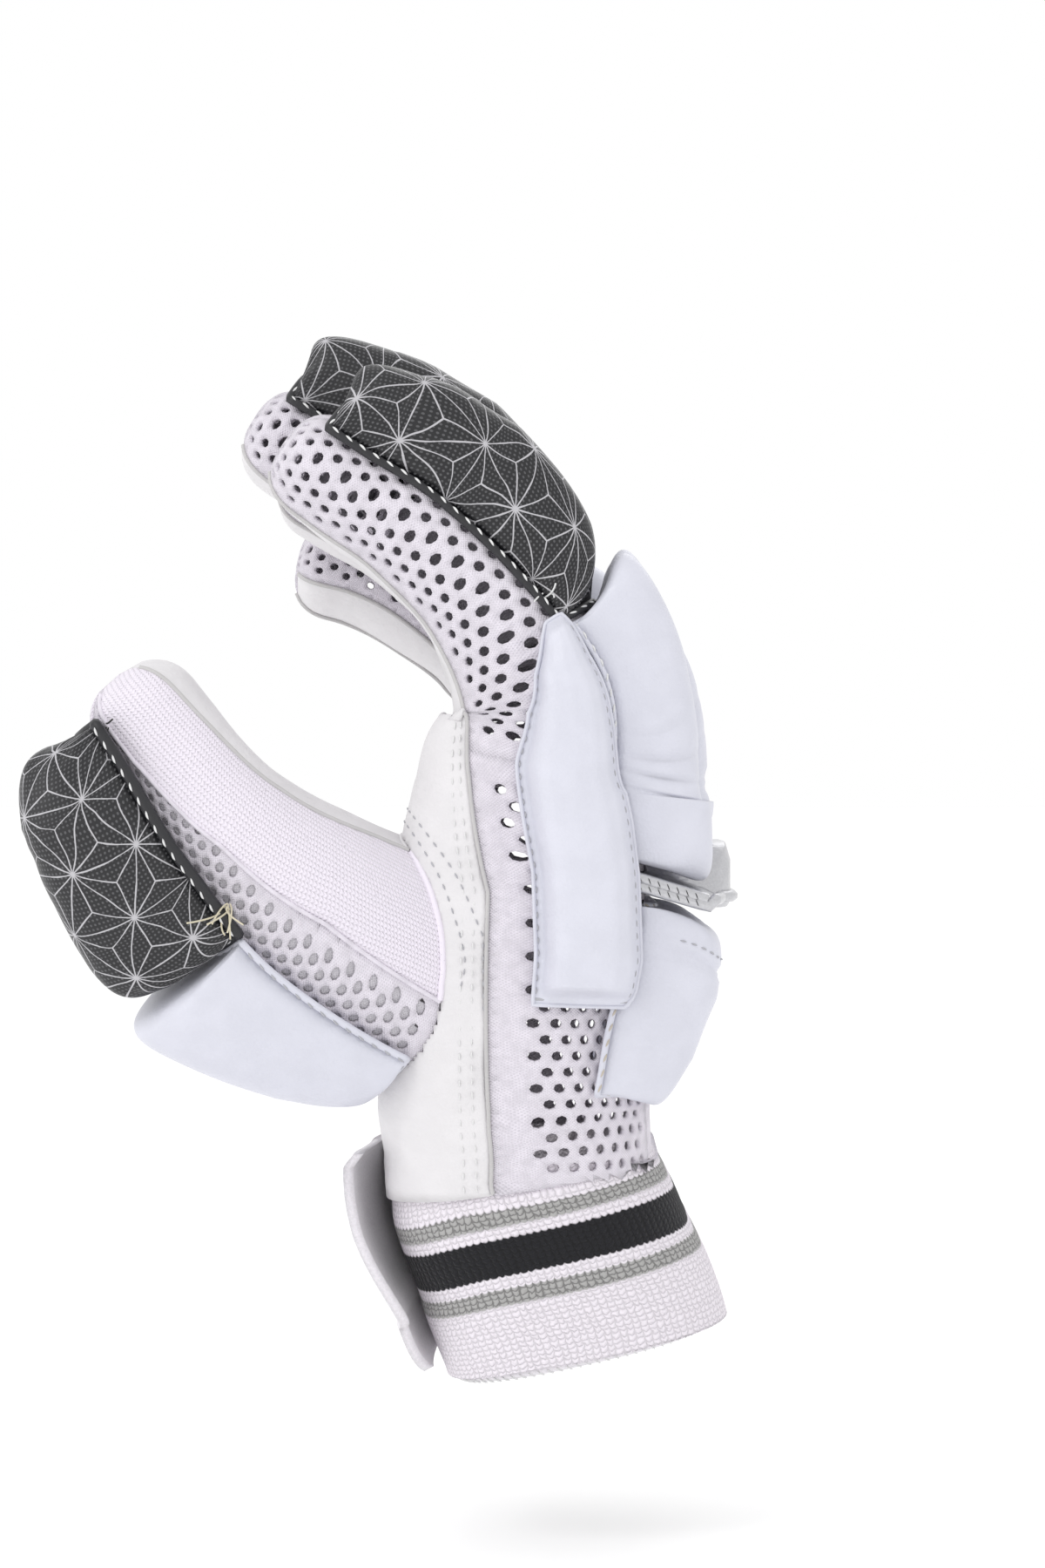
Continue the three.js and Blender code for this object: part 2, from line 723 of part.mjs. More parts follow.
function holePrism(section, angle) {
  const outer = sectionPoint(section, angle, section.flat, 3);
  const inner = sectionPoint(section, angle, section.flat, -MESH - 3);
  const way = outer.clone().sub(inner).normalize();
  const up = section.along.clone().multiplyScalar(HOLE.across / 2 * 1.1);
  const across = new THREE.Vector3().crossVectors(way, section.along).normalize()
    .multiplyScalar(HOLE.across / 2);
  const ring = (centre) => [
    centre.clone().add(up),
    centre.clone().add(across),
    centre.clone().sub(up),
    centre.clone().sub(across),
  ];
  const points = [...ring(outer), ...ring(inner)];
  const faces = [0, 1, 2, 0, 2, 3, 4, 6, 5, 4, 7, 6];
  for (let k = 0; k < 4; k += 1) {
    const next = (k + 1) % 4;
    faces.push(k, k + 4, next, next, k + 4, next + 4);
  }
  return geometryFrom(points, faces);
}

function radialMesh(path) {
  const wall = panel(path, {
    from: HEM,
    to: TIP,
    low: radialEdge('palm'),
    high: radialEdge('back'),
    wall: MESH,
    cols: 5,
    pole: true,
  });
  const fields = [
    { from: 2.5, to: 3.9, inset: [16, 42] },
    { from: 7.2, to: 9.0, inset: [36, 22] },
  ];
  return cut(wall, ...holeCutters(path, fields));
}

function ulnarMesh(path) {
  return panel(path, {
    from: HEM,
    to: TIP,
    low: (at) => 360 - tableValue(RADIAL_EDGES, at, 'back'),
    high: (at) => 360 - tableValue(RADIAL_EDGES, at, 'palm'),
    wall: MESH,
    cols: 4,
    pole: true,
  });
}

function sideBarPad(path) {
  const rows = SIDE_BAR_ROWS.length - 1;
  const cols = 8;
  const across = [0, 0.07, 0.1, 0.3, 0.55, 0.78, 0.93, 0.97, 1];
  const height = [0, 0.0, 0.5, 0.93, 1, 0.95, 0.6, 0.25, 0];
  const place = (i, j) => {
    const row = SIDE_BAR_ROWS[i];
    const section = path(row.at);
    const depth = mix(row.palm, row.back, across[j]);
    const share = Math.min(1, Math.max(0, -depth / section.deep));
    const width = section.flat + section.round * (1 - share ** CORNER) ** (1 / CORNER) + CLEARANCE;
    return { row, section, depth, width };
  };
  const point = ({ section, depth, width }, extra) => section.centre.clone()
    .addScaledVector(section.back, depth)
    .addScaledVector(section.side, -width - extra);
  const inside = (i, j) => point(place(i, j), 0);
  const outside = (i, j) => {
    const spot = place(i, j);
    return point(spot, FLANGE + (SIDE_BAR_THICK - FLANGE) * height[j] * spot.row.full);
  };
  return buildWall(rows, cols, outside, inside);
}

// Silver bridge: a thin wall across the back with a knob over the middle fingers

function knuckleBridge() {
  const cols = 14;
  const outline = 10;
  const profile = (k, width) => {
    const section = handPath(5);
    const inner = section.centre.x + Math.max(backDepth(section, width), 0.86 * section.deep) + 2 * CLEARANCE;
    const over = Math.abs(width) / (FINGER_PITCH + 0.5);
    const knob = over < 1 ? (1 - over ** 8) : 0;
    const outer = mix(BRIDGE.reach, BRIDGE.knob, knob) - 2.4 * (Math.abs(width) / BRIDGE.end) ** 6;
    const half = BRIDGE.thick / 2;
    const middle = (share) => mix(BRIDGE.seatZ, BRIDGE.endZ, share);
    const rise = knob * (BRIDGE.knobHigh - BRIDGE.endZ - half);
    const table = [
      [inner, middle(0) - half],
      [mix(inner, outer, 0.4), middle(0.4) - half],
      [mix(inner, outer, 0.8), middle(0.8) - half],
      [outer - 0.9, middle(1) - half + 0.4],
      [outer, middle(1)],
      [outer, middle(1) + half * 0.6 + rise * 0.72],
      [outer - 1.3, middle(1) + half + rise],
      [mix(mix(inner, outer, 0.8), outer - 7, knob), middle(0.8) + half + rise * 0.9],
      [mix(inner, outer, 0.4), middle(0.4) + half + rise * 0.35],
      [inner, middle(0) + half + rise * 0.12],
    ];
    return table[k];
  };
  const points = [];
  const faces = [];
  for (let j = 0; j <= cols; j += 1) {
    const width = BRIDGE.end * Math.sin((j / cols - 0.5) * Math.PI * 0.86) / Math.sin(0.43 * Math.PI);
    for (let k = 0; k < outline; k += 1) {
      const [x, z] = profile(k, width);
      points.push(new THREE.Vector3(x, LEAN + width, z));
    }
  }
  for (let j = 0; j < cols; j += 1) {
    for (let k = 0; k < outline; k += 1) {
      const next = (k + 1) % outline;
      const low = j * outline;
      const high = low + outline;
      faces.push(low + k, low + next, high + next, low + k, high + next, high + k);
    }
  }
  const ends = THREE.ShapeUtils.triangulateShape(
    profileOutline(profile, outline), []);
  for (const [a, b, c] of ends) {
    faces.push(a, c, b);
    const shift = cols * outline;
    faces.push(shift + a, shift + b, shift + c);
  }
  return geometryFrom(points, faces);
}

function profileOutline(profile, count) {
  const outline = [];
  for (let k = 0; k < count; k += 1) {
    const [x, z] = profile(k, BRIDGE.end);
    outline.push(new THREE.Vector2(x, z));
  }
  return outline;
}

// Fingers

function addFinger(finger, index) {
  const path = fingerPath(finger);
  const first = index === 0;
  const last = index === FINGERS.length - 1;
  const palmHigh = first ? radialEdge('palm') : PALM_EDGE;
  const palmLow = last ? (at) => -tableValue(RADIAL_EDGES, at, 'palm') : -PALM_EDGE;
  addPiece(`${finger.name}_palm_strip`, 'palmLeather', panel(path, {
    from: WEB + WEB_GAP,
    to: TIP,
    low: palmLow,
    high: palmHigh,
    wall: LEATHER,
    cols: 4,
    pole: true,
  }));
  addPiece(`${finger.name}_sleeve`, 'mesh', panel(path, {
    from: WEB + WEB_GAP,
    to: TIP,
    low: first ? radialEdge('back') : PALM_EDGE,
    high: last ? (at) => 360 - tableValue(RADIAL_EDGES, at, 'back') : 360 - PALM_EDGE,
    wall: MESH,
    cols: first || last ? 6 : 9,
    pole: true,
  }));
  addPiece(`${finger.name}_cap_pad`, 'blackPrint', pad(path, {
    ...CAP,
    low: [CAP.start[0], finger.capEnd],
    top: [CAP.start[1], finger.capEnd + CAP.tipLean],
    lane: fingerLane(finger.rows[3].half + CAP_MARGIN),
    creases: [{ at: 0.42, deep: 0.8, spread: 0.07 }],
  }));
  addPiece(`${finger.name}_roll_pad`, 'whiteLeather', pad(path, {
    ...ROLLS[index],
    seat: ROLL_SEAT,
    lane: rollLane(finger.lane),
    creases: [{ at: 0.36, deep: 1.0, spread: 0.06 }],
  }));
  addPiece(`${finger.name}_back_pad`, 'whiteLeather', pad(handPath, {
    ...BACK_PAD,
    lane: handLane(finger.lane),
    creases: [{ at: 0.8, deep: 0.9, spread: 0.05 }],
  }));
  return path;
}

// Thumb

function thumbEdge(column) {
  return (at) => tableValue(THUMB_EDGES, at, column);
}

function addThumb() {
  const handCore = filledTube(handPath, 2, WEB, -MESH, 10, 24);
  const part = (name, material, spec) => {
    const wall = panel(thumbPath, { from: 0.5, to: THUMB_TIP, pole: true, marks: THUMB_MARKS, ...spec });
    addPiece(name, material, cut(wall, handCore));
  };
  part('thumb_palm_leather', 'palmLeather', {
    low: -55, high: thumbEdge('palm'), wall: LEATHER, cols: 5,
  });
  part('thumb_knit_panel', 'knit', {
    low: thumbEdge('palm'), high: thumbEdge('knit'), wall: MESH, cols: 4,
  });
  part('thumb_mesh_panel', 'mesh', {
    low: thumbEdge('knit'), high: thumbEdge('back'), wall: MESH, cols: 3,
  });
  part('thumb_far_panel', 'knit', {
    low: thumbEdge('back'), high: 305, wall: MESH, cols: 6,
  });
  const lane = fingerLane(THUMB_PAD_SIDE);
  const marks = THUMB_MARKS;
  addPiece('thumb_cap_pad', 'blackPrint', pad(thumbPath, { ...THUMB_CAP, lane, marks }));
  addPiece('thumb_lower_pad', 'whiteLeather', pad(thumbPath, { ...THUMB_PAD, lane, marks }));
}

const paths = FINGERS.map(addFinger);
addPiece('wristband', 'cuffKnit', wristband());
addPiece('wrist_strap', 'loop', wristStrap());
addPiece('palm_leather', 'palmLeather', palmLeather());
addPiece('radial_mesh', 'mesh', radialMesh(paths[0]));
addPiece('ulnar_mesh', 'mesh', ulnarMesh(paths[3]));
addPiece('back_cloth', 'mesh', backCloth());
addPiece('side_bar_pad', 'whiteLeather', sideBarPad(paths[0]));
addPiece('knuckle_bridge', 'silver', knuckleBridge());
addThumb();

export default glove;
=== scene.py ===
# Looks of a cricket batting glove for the right hand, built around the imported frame.
# Lengths in the tables are millimetres; meshes are written in metres.

import math

import bpy
import numpy as np
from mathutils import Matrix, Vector


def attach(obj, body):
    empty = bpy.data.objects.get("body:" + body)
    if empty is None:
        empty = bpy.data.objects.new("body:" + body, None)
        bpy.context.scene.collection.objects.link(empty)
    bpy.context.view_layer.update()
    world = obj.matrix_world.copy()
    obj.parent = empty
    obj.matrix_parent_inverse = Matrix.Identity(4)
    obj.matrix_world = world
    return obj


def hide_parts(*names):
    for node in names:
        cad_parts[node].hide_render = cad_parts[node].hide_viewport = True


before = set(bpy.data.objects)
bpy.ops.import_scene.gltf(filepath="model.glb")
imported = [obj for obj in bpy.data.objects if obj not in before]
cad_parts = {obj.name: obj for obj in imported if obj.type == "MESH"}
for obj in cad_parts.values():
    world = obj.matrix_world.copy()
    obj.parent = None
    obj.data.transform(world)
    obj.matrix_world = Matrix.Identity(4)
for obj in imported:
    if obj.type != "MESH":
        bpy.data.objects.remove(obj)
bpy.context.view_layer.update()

rng = np.random.default_rng(7)
MM = 0.001

# Sizes shared with the solids
CLEARANCE = 0.3
CORNER = 2.5
PAD_CORNER = 3.0
PITCH = 28.0
FINGER_HALF = 13.7
LEAN = -4.0
HEM = 1.9
CUFF_TOP = 2.2
WEB = 7.0
TIP = 11.0
TIP_ROUND = 10.35
MESH = 2.0
FLANGE = 1.7
PAD_CLEARANCE = 0.55
WEB_SLOPE = dict(x=-5.6, y=0, z=22.4)

def rows(columns, *values):
    """Rows of a table as dictionaries. A short row leaves its last columns out."""
    return [dict(zip(columns.split(), row)) for row in values]


HAND = rows("x y z deep half round slope",
            (0.0, 0.0, 0.0, 36.8, 42.0, 33, dict(x=-4.6, y=-0.6, z=22)),
            (-8.4, -2.2, 21.6, 35.6, 41.4, 32, dict(x=-7.4, y=-2.2, z=23)),
            (-17.4, LEAN, 46.3, 33.8, 42.2, 30, dict(x=0.5, y=-1.6, z=20)),
            (-18.2, LEAN, 61.0, 34.0, 45.0, 25),
            (-18.2, LEAN, 86.0, 32.0, 49.5, 20),
            (-16.9, LEAN, 115.0, 31.0, 53.0, 17),
            (-15.0, LEAN, 142.0, 27.5, 55.2, 15),
            (-12.4, LEAN, 163.3, 22.5, 55.7, FINGER_HALF, WEB_SLOPE))

FINGER_COLUMNS = "x z deep half roll"
FINGERS = [
    dict(name="index", cap=10.6, lane=-1.5, rows=rows(
        FINGER_COLUMNS, (-25.0, 186.0, 16.4, 13.6, 0), (-43.2, 204.3, 14.8, 13.4, 0),
        (-58.6, 214.6, 14.0, 13.2, 0), (-75.0, 225.8, 13.4, 13.0, 0))),
    dict(name="middle", cap=10.72, lane=-0.5, rows=rows(
        FINGER_COLUMNS, (-26.5, 190.0, 16.6, 13.6, 0), (-47.6, 211.4, 15.0, 13.4, 0),
        (-65.8, 222.6, 14.2, 13.2, 0), (-84.4, 234.2, 13.4, 13.0, 0))),
    dict(name="ring", cap=10.65, lane=0.5, rows=rows(
        FINGER_COLUMNS, (-26.0, 188.0, 16.4, 13.6, 0), (-46.0, 206.4, 14.8, 13.4, 0),
        (-62.4, 215.8, 14.0, 13.2, 0), (-77.4, 223.4, 13.2, 12.8, 0))),
    dict(name="little", cap=10.6, lane=1.5, rows=rows(
        FINGER_COLUMNS, (-26.6, 179.0, 15.4, 13.2, 12), (-43.6, 190.4, 13.6, 12.6, 24),
        (-59.4, 197.6, 12.8, 12.2, 28), (-76.6, 201.2, 12.2, 11.8, 28))),
]

THUMB_TIP = 5.0
THUMB_ROUND = 4.3
THUMB = rows("x y z deep half",
             (-12.0, -23, 87.0, 29.0, 19.5), (-38.0, -33, 95.5, 28.0, 19.5),
             (-67.5, -46, 112.6, 24.0, 17.5), (-88.0, -53, 131.6, 17.6, 16.0),
             (-103.5, -56, 153.0, 14.4, 15.0), (-114.5, -57, 168.6, 13.4, 13.8))

PALM_EDGE = 38.0
# Borders of the panels as angles from the middle of the palm side: station, palm, back
RADIAL = [(0, 82, 165), (3, 83, 162), (5, 80, 160), (6, 64, 155), (7, 38, 148), (8, 24, 146), (11, 24, 146)]

# The same round the thumb: station, palm, knit, back
THUMB_EDGES = [(0, 24, 100, 158), (1, 24, 98, 158), (2, 24, 92, 160), (3, 30, 98, 156), (4, 46, 120, 152),
               (5, 56, 128, 150)]

CAP_SIDE = 13.4
ROLLS = dict(
    index=dict(low=(5.36, 7.44), top=(5.1, 7.84), tall=(48.4, 45.4, 37.4, 37.8)),
    middle=dict(low=(5.66, 7.44), top=(5.66, 7.84), tall=(49.2, 46.0, 38.4, 38.4)),
    ring=dict(low=(5.66, 7.44), top=(5.66, 7.84), tall=(49.0, 45.6, 37.8, 38.0)),
    little=dict(low=(5.36, 7.44), top=(5.1, 7.84), tall=(47.0, 44.0, 36.4, 35.6)),
)
CAP_TALL = (33.6, 36.8, 34.0, 28.4)
BACK_PAD = dict(low=(3.2, 4.96), top=(2.94, 4.78), tall=(36.0, 44.4, 50.0, 51.6), seat=(0.6, 0.7, 0.82, 0.92))
THUMB_CAP = dict(low=(2.42, 4.6), top=(2.56, 4.88), seat=(0.74,), tall=(51.6, 45.4, 41.0, 31.0))
THUMB_PAD = dict(low=(1.08, 2.36), top=(1.14, 2.5), seat=(0.78,), tall=(39.6, 46.2, 50.6, 54.6))
THUMB_PAD_SIDE = 16.5
# Station, depth of the palm edge, depth of the back edge, share of the full thickness
SIDE_BAR = [
    (4.08, 4.5, 27.0, 0.0), (4.16, 4.5, 28.6, 0.16), (4.24, 4.6, 29.4, 0.85), (4.50, 4.8, 30.4, 1.0),
    (5.20, 3.0, 28.6, 1.0), (5.70, -0.5, 26.0, 1.0), (6.20, -3.4, 22.4, 0.95), (6.80, -2.8, 17.0, 0.85),
    (7.20, 1.0, 14.6, 0.7), (7.46, 6.5, 14.2, 0.4), (7.56, 9.0, 13.4, 0.0)]
SIDE_BAR_THICK = 11.5

# Row of a back pad's net where a seam crosses it
BACK_SEAM_ROW = 71

# Creases of the rolls: place along, depth, width, and the side on which a short pleat stays
ROLL_CREASES = [
    (0.36, 1.0, 0.03), (0.40, 0.7, 0.012), (0.50, 1.5, 0.012, 0.2), (0.56, 1.7, 0.014, 0.3),
    (0.63, 1.4, 0.012, 0.2), (0.53, 1.0, 0.012, 2.9), (0.60, 1.0, 0.012, 2.9)]

# Share of the gusset beside the palm that has no holes
PLAIN_SHARE = 0.14

# Fine sizes of the panels and the pads
BORDER_GAP = 0.15
WALL = 1.6
KNIT_WALL = 2.0
RIM = 0.55
NET_PITCH = 4.8
PAD_ROWS = 90
PAD_COLS = 44


def power(v, e):
    return np.sign(v) * np.abs(v) ** e


def table(entries, at, column):
    return np.interp(at, [e[0] for e in entries], [e[column] for e in entries])


def listed(values, share):
    """A value for each share of a length, from a list of values spread evenly over it."""
    return np.interp(share, np.linspace(0, 1, len(values)), values)


def lerp(a, b, t):
    return a + (b - a) * t


def unit(vectors):
    return vectors / np.linalg.norm(vectors, axis=-1, keepdims=True)


def lengths_along(line):
    """The length from a line's start to each of its points."""
    return np.concatenate([[0], np.cumsum(np.linalg.norm(np.diff(line, axis=0), axis=1))])


# Paths of sections, the same as in the solids

class Path:
    """A smooth run of sections through the rows of a table, one station to a row."""

    def __init__(self, stations, closing=None, sign=1.0):
        self.n = len(stations)
        self.cols = {}
        for c in ("x", "y", "z", "deep", "half", "round", "roll"):
            v = np.array([r[c] for r in stations], float)
            s = np.zeros(self.n)
            for k in range(self.n):
                a, b = max(0, k - 1), min(self.n - 1, k + 1)
                s[k] = (v[b] - v[a]) / (b - a)
                s[k] = stations[k].get("slope", {}).get(c, s[k])
            self.cols[c] = (v, s)
        self.closing = closing
        self.sign = sign

    def value(self, at, c):
        v, s = self.cols[c]
        k = np.clip(np.floor(at).astype(int), 0, self.n - 2)
        t = at - k
        return (v[k] * (2 * t**3 - 3 * t**2 + 1) + s[k] * (t**3 - 2 * t**2 + t)
                + v[k + 1] * (3 * t**2 - 2 * t**3) + s[k + 1] * (t**3 - t**2))

    def centre(self, at):
        return np.stack([self.value(at, c) for c in "xyz"], -1)

    def __call__(self, at):
        at = np.asarray(at, float)
        along = unit(self.centre(at + 0.01) - self.centre(at - 0.01))
        wide = unit(np.array([0, 1.0, 0]) - along * along[..., 1:2])
        deep_way = np.cross(wide, along)
        roll = np.radians(self.value(at, "roll"))[..., None]
        back = (deep_way * np.cos(roll) + wide * np.sin(roll)) * self.sign
        side = wide * np.cos(roll) - deep_way * np.sin(roll)
        closed = np.ones(at.shape)
        if self.closing:
            t = np.clip((at - self.closing[0]) / (self.closing[1] - self.closing[0]), 0, 1)
            closed = (1 - t**2.6) ** (1 / 2.6)
        rnd = self.value(at, "round")
        return dict(centre=self.centre(at), along=along, back=back, side=side,
                    deep=self.value(at, "deep"), round=rnd, flat=self.value(at, "half") - rnd, closed=closed)


class Joined:
    """Follows the hand below the webs and its own finger beyond."""

    def __init__(self, hand, own):
        self.hand, self.own = hand, own

    def __call__(self, at):
        at = np.asarray(at, float)
        a, b = self.hand(np.minimum(at, WEB)), self.own(at)
        low = at < WEB
        return {k: np.where(low[..., None] if a[k].ndim > low.ndim else low, a[k], b[k]) for k in a}


hand_path = Path([dict(r, roll=0) for r in HAND])
thumb_path = Path([dict(r, round=r["half"], roll=0) for r in THUMB], (THUMB_ROUND, THUMB_TIP), -1.0)


def finger_path(f):
    stations = [dict(r, y=r["y"] + f["lane"] * PITCH, half=r["round"], roll=0) for r in HAND]
    stations += [dict(r, y=LEAN + f["lane"] * PITCH, round=r["half"]) for r in f["rows"]]
    return Joined(hand_path, Path(stations, (TIP_ROUND, TIP)))


PATHS = {f["name"]: finger_path(f) for f in FINGERS}


def section_point(sec, angle, shift, offset):
    t = np.radians(angle)
    c = sec["closed"]
    depth = power(np.cos(t), 2 / CORNER) * (sec["deep"] + offset) * c
    width = power(np.sin(t), 2 / CORNER) * (sec["round"] + offset) * c
    return (sec["centre"] - sec["back"] * depth[..., None] - sec["side"] * (width + shift)[..., None]
            + sec["along"] * (offset * (1 - c))[..., None])


def around_point(sec, low, high, share, offset):
    quarter = 0.8 * (sec["deep"] + sec["round"])
    flat = sec["flat"]
    middle = np.where((low < 0) & (high > 0), 0.0, 180.0)
    plain = (flat < 0.01) | (low >= middle) | (high <= middle)
    side = np.where(np.sin(np.radians((low + high) / 2)) < 0, -1.0, 1.0)
    before = np.where(middle == 0, -1.0, 1.0)
    first = np.maximum(1e-6, (middle - low) / 90 * quarter)
    last = np.maximum(1e-6, (high - middle) / 90 * quarter)
    way = share * (first + 2 * flat + last)
    one, two = way <= first, way < first + 2 * flat
    angle = np.where(one, lerp(low, middle, way / first),
                     np.where(two, middle, lerp(middle, high, (way - first - 2 * flat) / last)))
    shift = np.where(one, before * flat, np.where(two, before * (flat - (way - first)), -before * flat))
    angle = np.where(plain, lerp(low, high, share), angle)
    shift = np.where(plain, side * flat, shift)
    return section_point(sec, angle, shift, np.broadcast_to(offset, angle.shape))


def back_depth(sec, width):
    over = np.maximum(0, np.abs(width) - sec["flat"]) / sec["round"]
    return sec["deep"] * (1 - np.minimum(1, over) ** CORNER) ** (1 / CORNER)


def width_at_depth(sec, depth):
    share = np.clip(depth / sec["deep"], 0, 1)
    return sec["flat"] + sec["round"] * (1 - share**CORNER) ** (1 / CORNER)


# Mesh building. Each piece keeps a map in millimetres, so that patterns follow it.

def new_object(name, points, faces, uv, look):
    mesh = bpy.data.meshes.new(name)
    mesh.from_pydata((np.asarray(points) * MM).tolist(), [], [list(map(int, f)) for f in faces])
    if uv is not None:
        layer = mesh.uv_layers.new(name="map")
        index = np.zeros(len(mesh.loops), int)
        mesh.loops.foreach_get("vertex_index", index)
        layer.data.foreach_set("uv", np.asarray(uv)[index].astype(np.float32).ravel())
    mesh.update()
    mesh.shade_smooth()
    obj = bpy.data.objects.new(name, mesh)
    bpy.context.scene.collection.objects.link(obj)
    mesh.materials.append(M[look])
    return obj


def net_object(name, net, uv, faces, look):
    return new_object(name, net.reshape(-1, 3), faces, uv.reshape(-1, 2), look)


def grid_map(net):
    """Lengths across and along a net of points, in millimetres, measured from its middle column."""
    count, cols = net.shape[:2]
    u = np.apply_along_axis(np.cumsum, 1, np.linalg.norm(np.diff(net, axis=1), axis=2))
    u = np.concatenate([np.zeros((count, 1)), u], 1)
    u -= u[:, -1:] / 2
    v = np.repeat(lengths_along(net[:, cols // 2])[:, None], cols, 1)
    return np.stack([u, v], -1)


def grid_faces(count, cols, ring=False, keep=None):
    faces = []
    for i in range(count - 1):
        for j in range(cols if ring else cols - 1):
            k = (j + 1) % cols
            if keep is None or keep(i, j):
                faces.append((i * cols + j, i * cols + k, (i + 1) * cols + k, (i + 1) * cols + j))
    return faces


def border_of(net):
    """The points round a net's border, each once."""
    return np.concatenate([net[:, 0], net[-1, 1:], net[-2::-1, -1], net[0, -2:0:-1]])


def solid_wall(obj, thick):
    """Gives a sheet a wall on its inner side."""
    solid = obj.modifiers.new("wall", "SOLIDIFY")
    solid.thickness = thick * MM
    solid.offset = -1.0
    solid.use_even_offset = False
    apply(obj)


def apply(obj):
    graph = bpy.context.evaluated_depsgraph_get()
    made = bpy.data.meshes.new_from_object(obj.evaluated_get(graph))
    obj.modifiers.clear()
    obj.data = made


def outward(obj, sample, away):
    """Turns the faces so that the sample looks away from a point."""
    polygon = obj.data.polygons[sample]
    if (polygon.center - Vector(away)).dot(polygon.normal) < 0:
        obj.data.flip_normals()


def finish_piece(obj, nodes=()):
    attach(obj, "root")
    if nodes:
        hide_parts(*nodes)
    return obj


def panel_point(path, at, low, high, share, offset=0.0):
    """Points between two borders, which are drawn in a little so that neighbours don't touch."""
    sec = path(at)
    lo, hi = (edge(at) if callable(edge) else np.full(at.shape, float(edge)) for edge in (low, high))
    inset = np.degrees(BORDER_GAP / np.maximum(4, sec["round"] * sec["closed"]))
    return around_point(sec, lo + inset, hi - inset, share, offset)


def panel_net(path, low, high, stations, shares, offset=0.0):
    at, share = np.meshgrid(np.asarray(stations, float), np.asarray(shares, float), indexing="ij")
    return panel_point(path, at, low, high, share, offset)


def edge_line(path, at, edge, offset):
    """The line along one border of a panel."""
    edge = edge(at) if callable(edge) else np.full(at.shape, float(edge))
    return around_point(path(at), edge - 0.1, edge + 0.1, np.full(at.shape, 0.5), np.full(at.shape, offset))


def stations_for(path, start, end, step):
    """Stations about one step apart along the path."""
    fine = np.linspace(start, end, 400)
    length = lengths_along(path(fine)["centre"])
    count = max(4, int(round(length[-1] / step)))
    return np.interp(np.linspace(0, length[-1], count + 1), length, fine)


def finish_panel(obj, path, station, wall, node):
    outward(obj, len(obj.data.polygons) // 2, path(np.array([station]))["centre"][0] * MM)
    solid_wall(obj, wall)
    finish_piece(obj, [node] if node else [])


def cloth_panel(name, path, low, high, start, end, wall, look, node, step, cols, keep=None, ripple=0.0):
    stations = stations_for(path, start, end, step)
    net = panel_net(path, low, high, stations, np.linspace(0, 1, cols + 1))
    uv = grid_map(net)
    if ripple:
        net = net + ripple_field(net, ripple)
    keep_face = None
    if keep is not None:
        mask = keep(net)
        keep_face = lambda i, j: mask[i, j] and mask[i + 1, j] and mask[i, j + 1] and mask[i + 1, j + 1]
    faces = grid_faces(*net.shape[:2], keep=keep_face)
    obj = net_object(name, net, uv, faces, look)
    finish_panel(obj, path, stations[len(stations) // 2], wall, node)


def ripple_field(net, amount):
    """Small soft dents from a few sine waves."""
    p = net / 9.0
    wave = (np.sin(p[..., 0] * 1.7 + p[..., 2] * 1.1 + 0.4) * np.sin(p[..., 1] * 1.3 - p[..., 2] * 0.9)
            + 0.5 * np.sin(p[..., 2] * 2.3 + p[..., 1] * 1.9 + 1.3))
    normal = np.cross(np.gradient(net, axis=0), np.gradient(net, axis=1))
    length = np.linalg.norm(normal, axis=-1, keepdims=True)
    normal = np.where(length > 1e-5, normal / np.maximum(length, 1e-5), 0)
    return normal * (np.clip(wave, -1, 1) * amount)[..., None]


# Panels with round holes

def holed_cells(m, n, hole, plain):
    """Points and faces of staggered cells, each a ring of eight corners round a hole."""
    points, faces, known = [], [], {}

    def vertex(a, b):
        key = (round(a * 1000), round(b * 1000))
        if key not in known:
            known[key] = len(points)
            points.append((a, b))
        return known[key]

    for i in range(m):
        stagger = 0.5 if i % 2 else 0
        for j in range(n + (i % 2)):
            left, right = max(0.0, j - stagger), min(float(n), j + 1 - stagger)
            mid, low, high = (left + right) / 2, float(i), float(i + 1)
            centre = (low + high) / 2
            ring = [(left, low), (mid, low), (right, low), (right, centre),
                    (right, high), (mid, high), (left, high), (left, centre)]
            outer = [vertex(*p) for p in ring]
            edge = i == 0 or i >= m - 1 or left <= 0.01 or right >= n - 0.01 or mid < plain * n
            if right - left < 0.75 or edge:
                faces.append(tuple(outer))
                continue
            inner = []
            for p in ring:
                dx, dy = p[0] - mid, p[1] - centre
                r = math.hypot(dx, dy)
                inner.append(vertex(mid + dx / r * hole, centre + dy / r * hole * 1.12))
            for k in range(8):
                q = (k + 1) % 8
                faces.append((outer[k], outer[q], inner[q], inner[k]))
    return np.array(points), faces


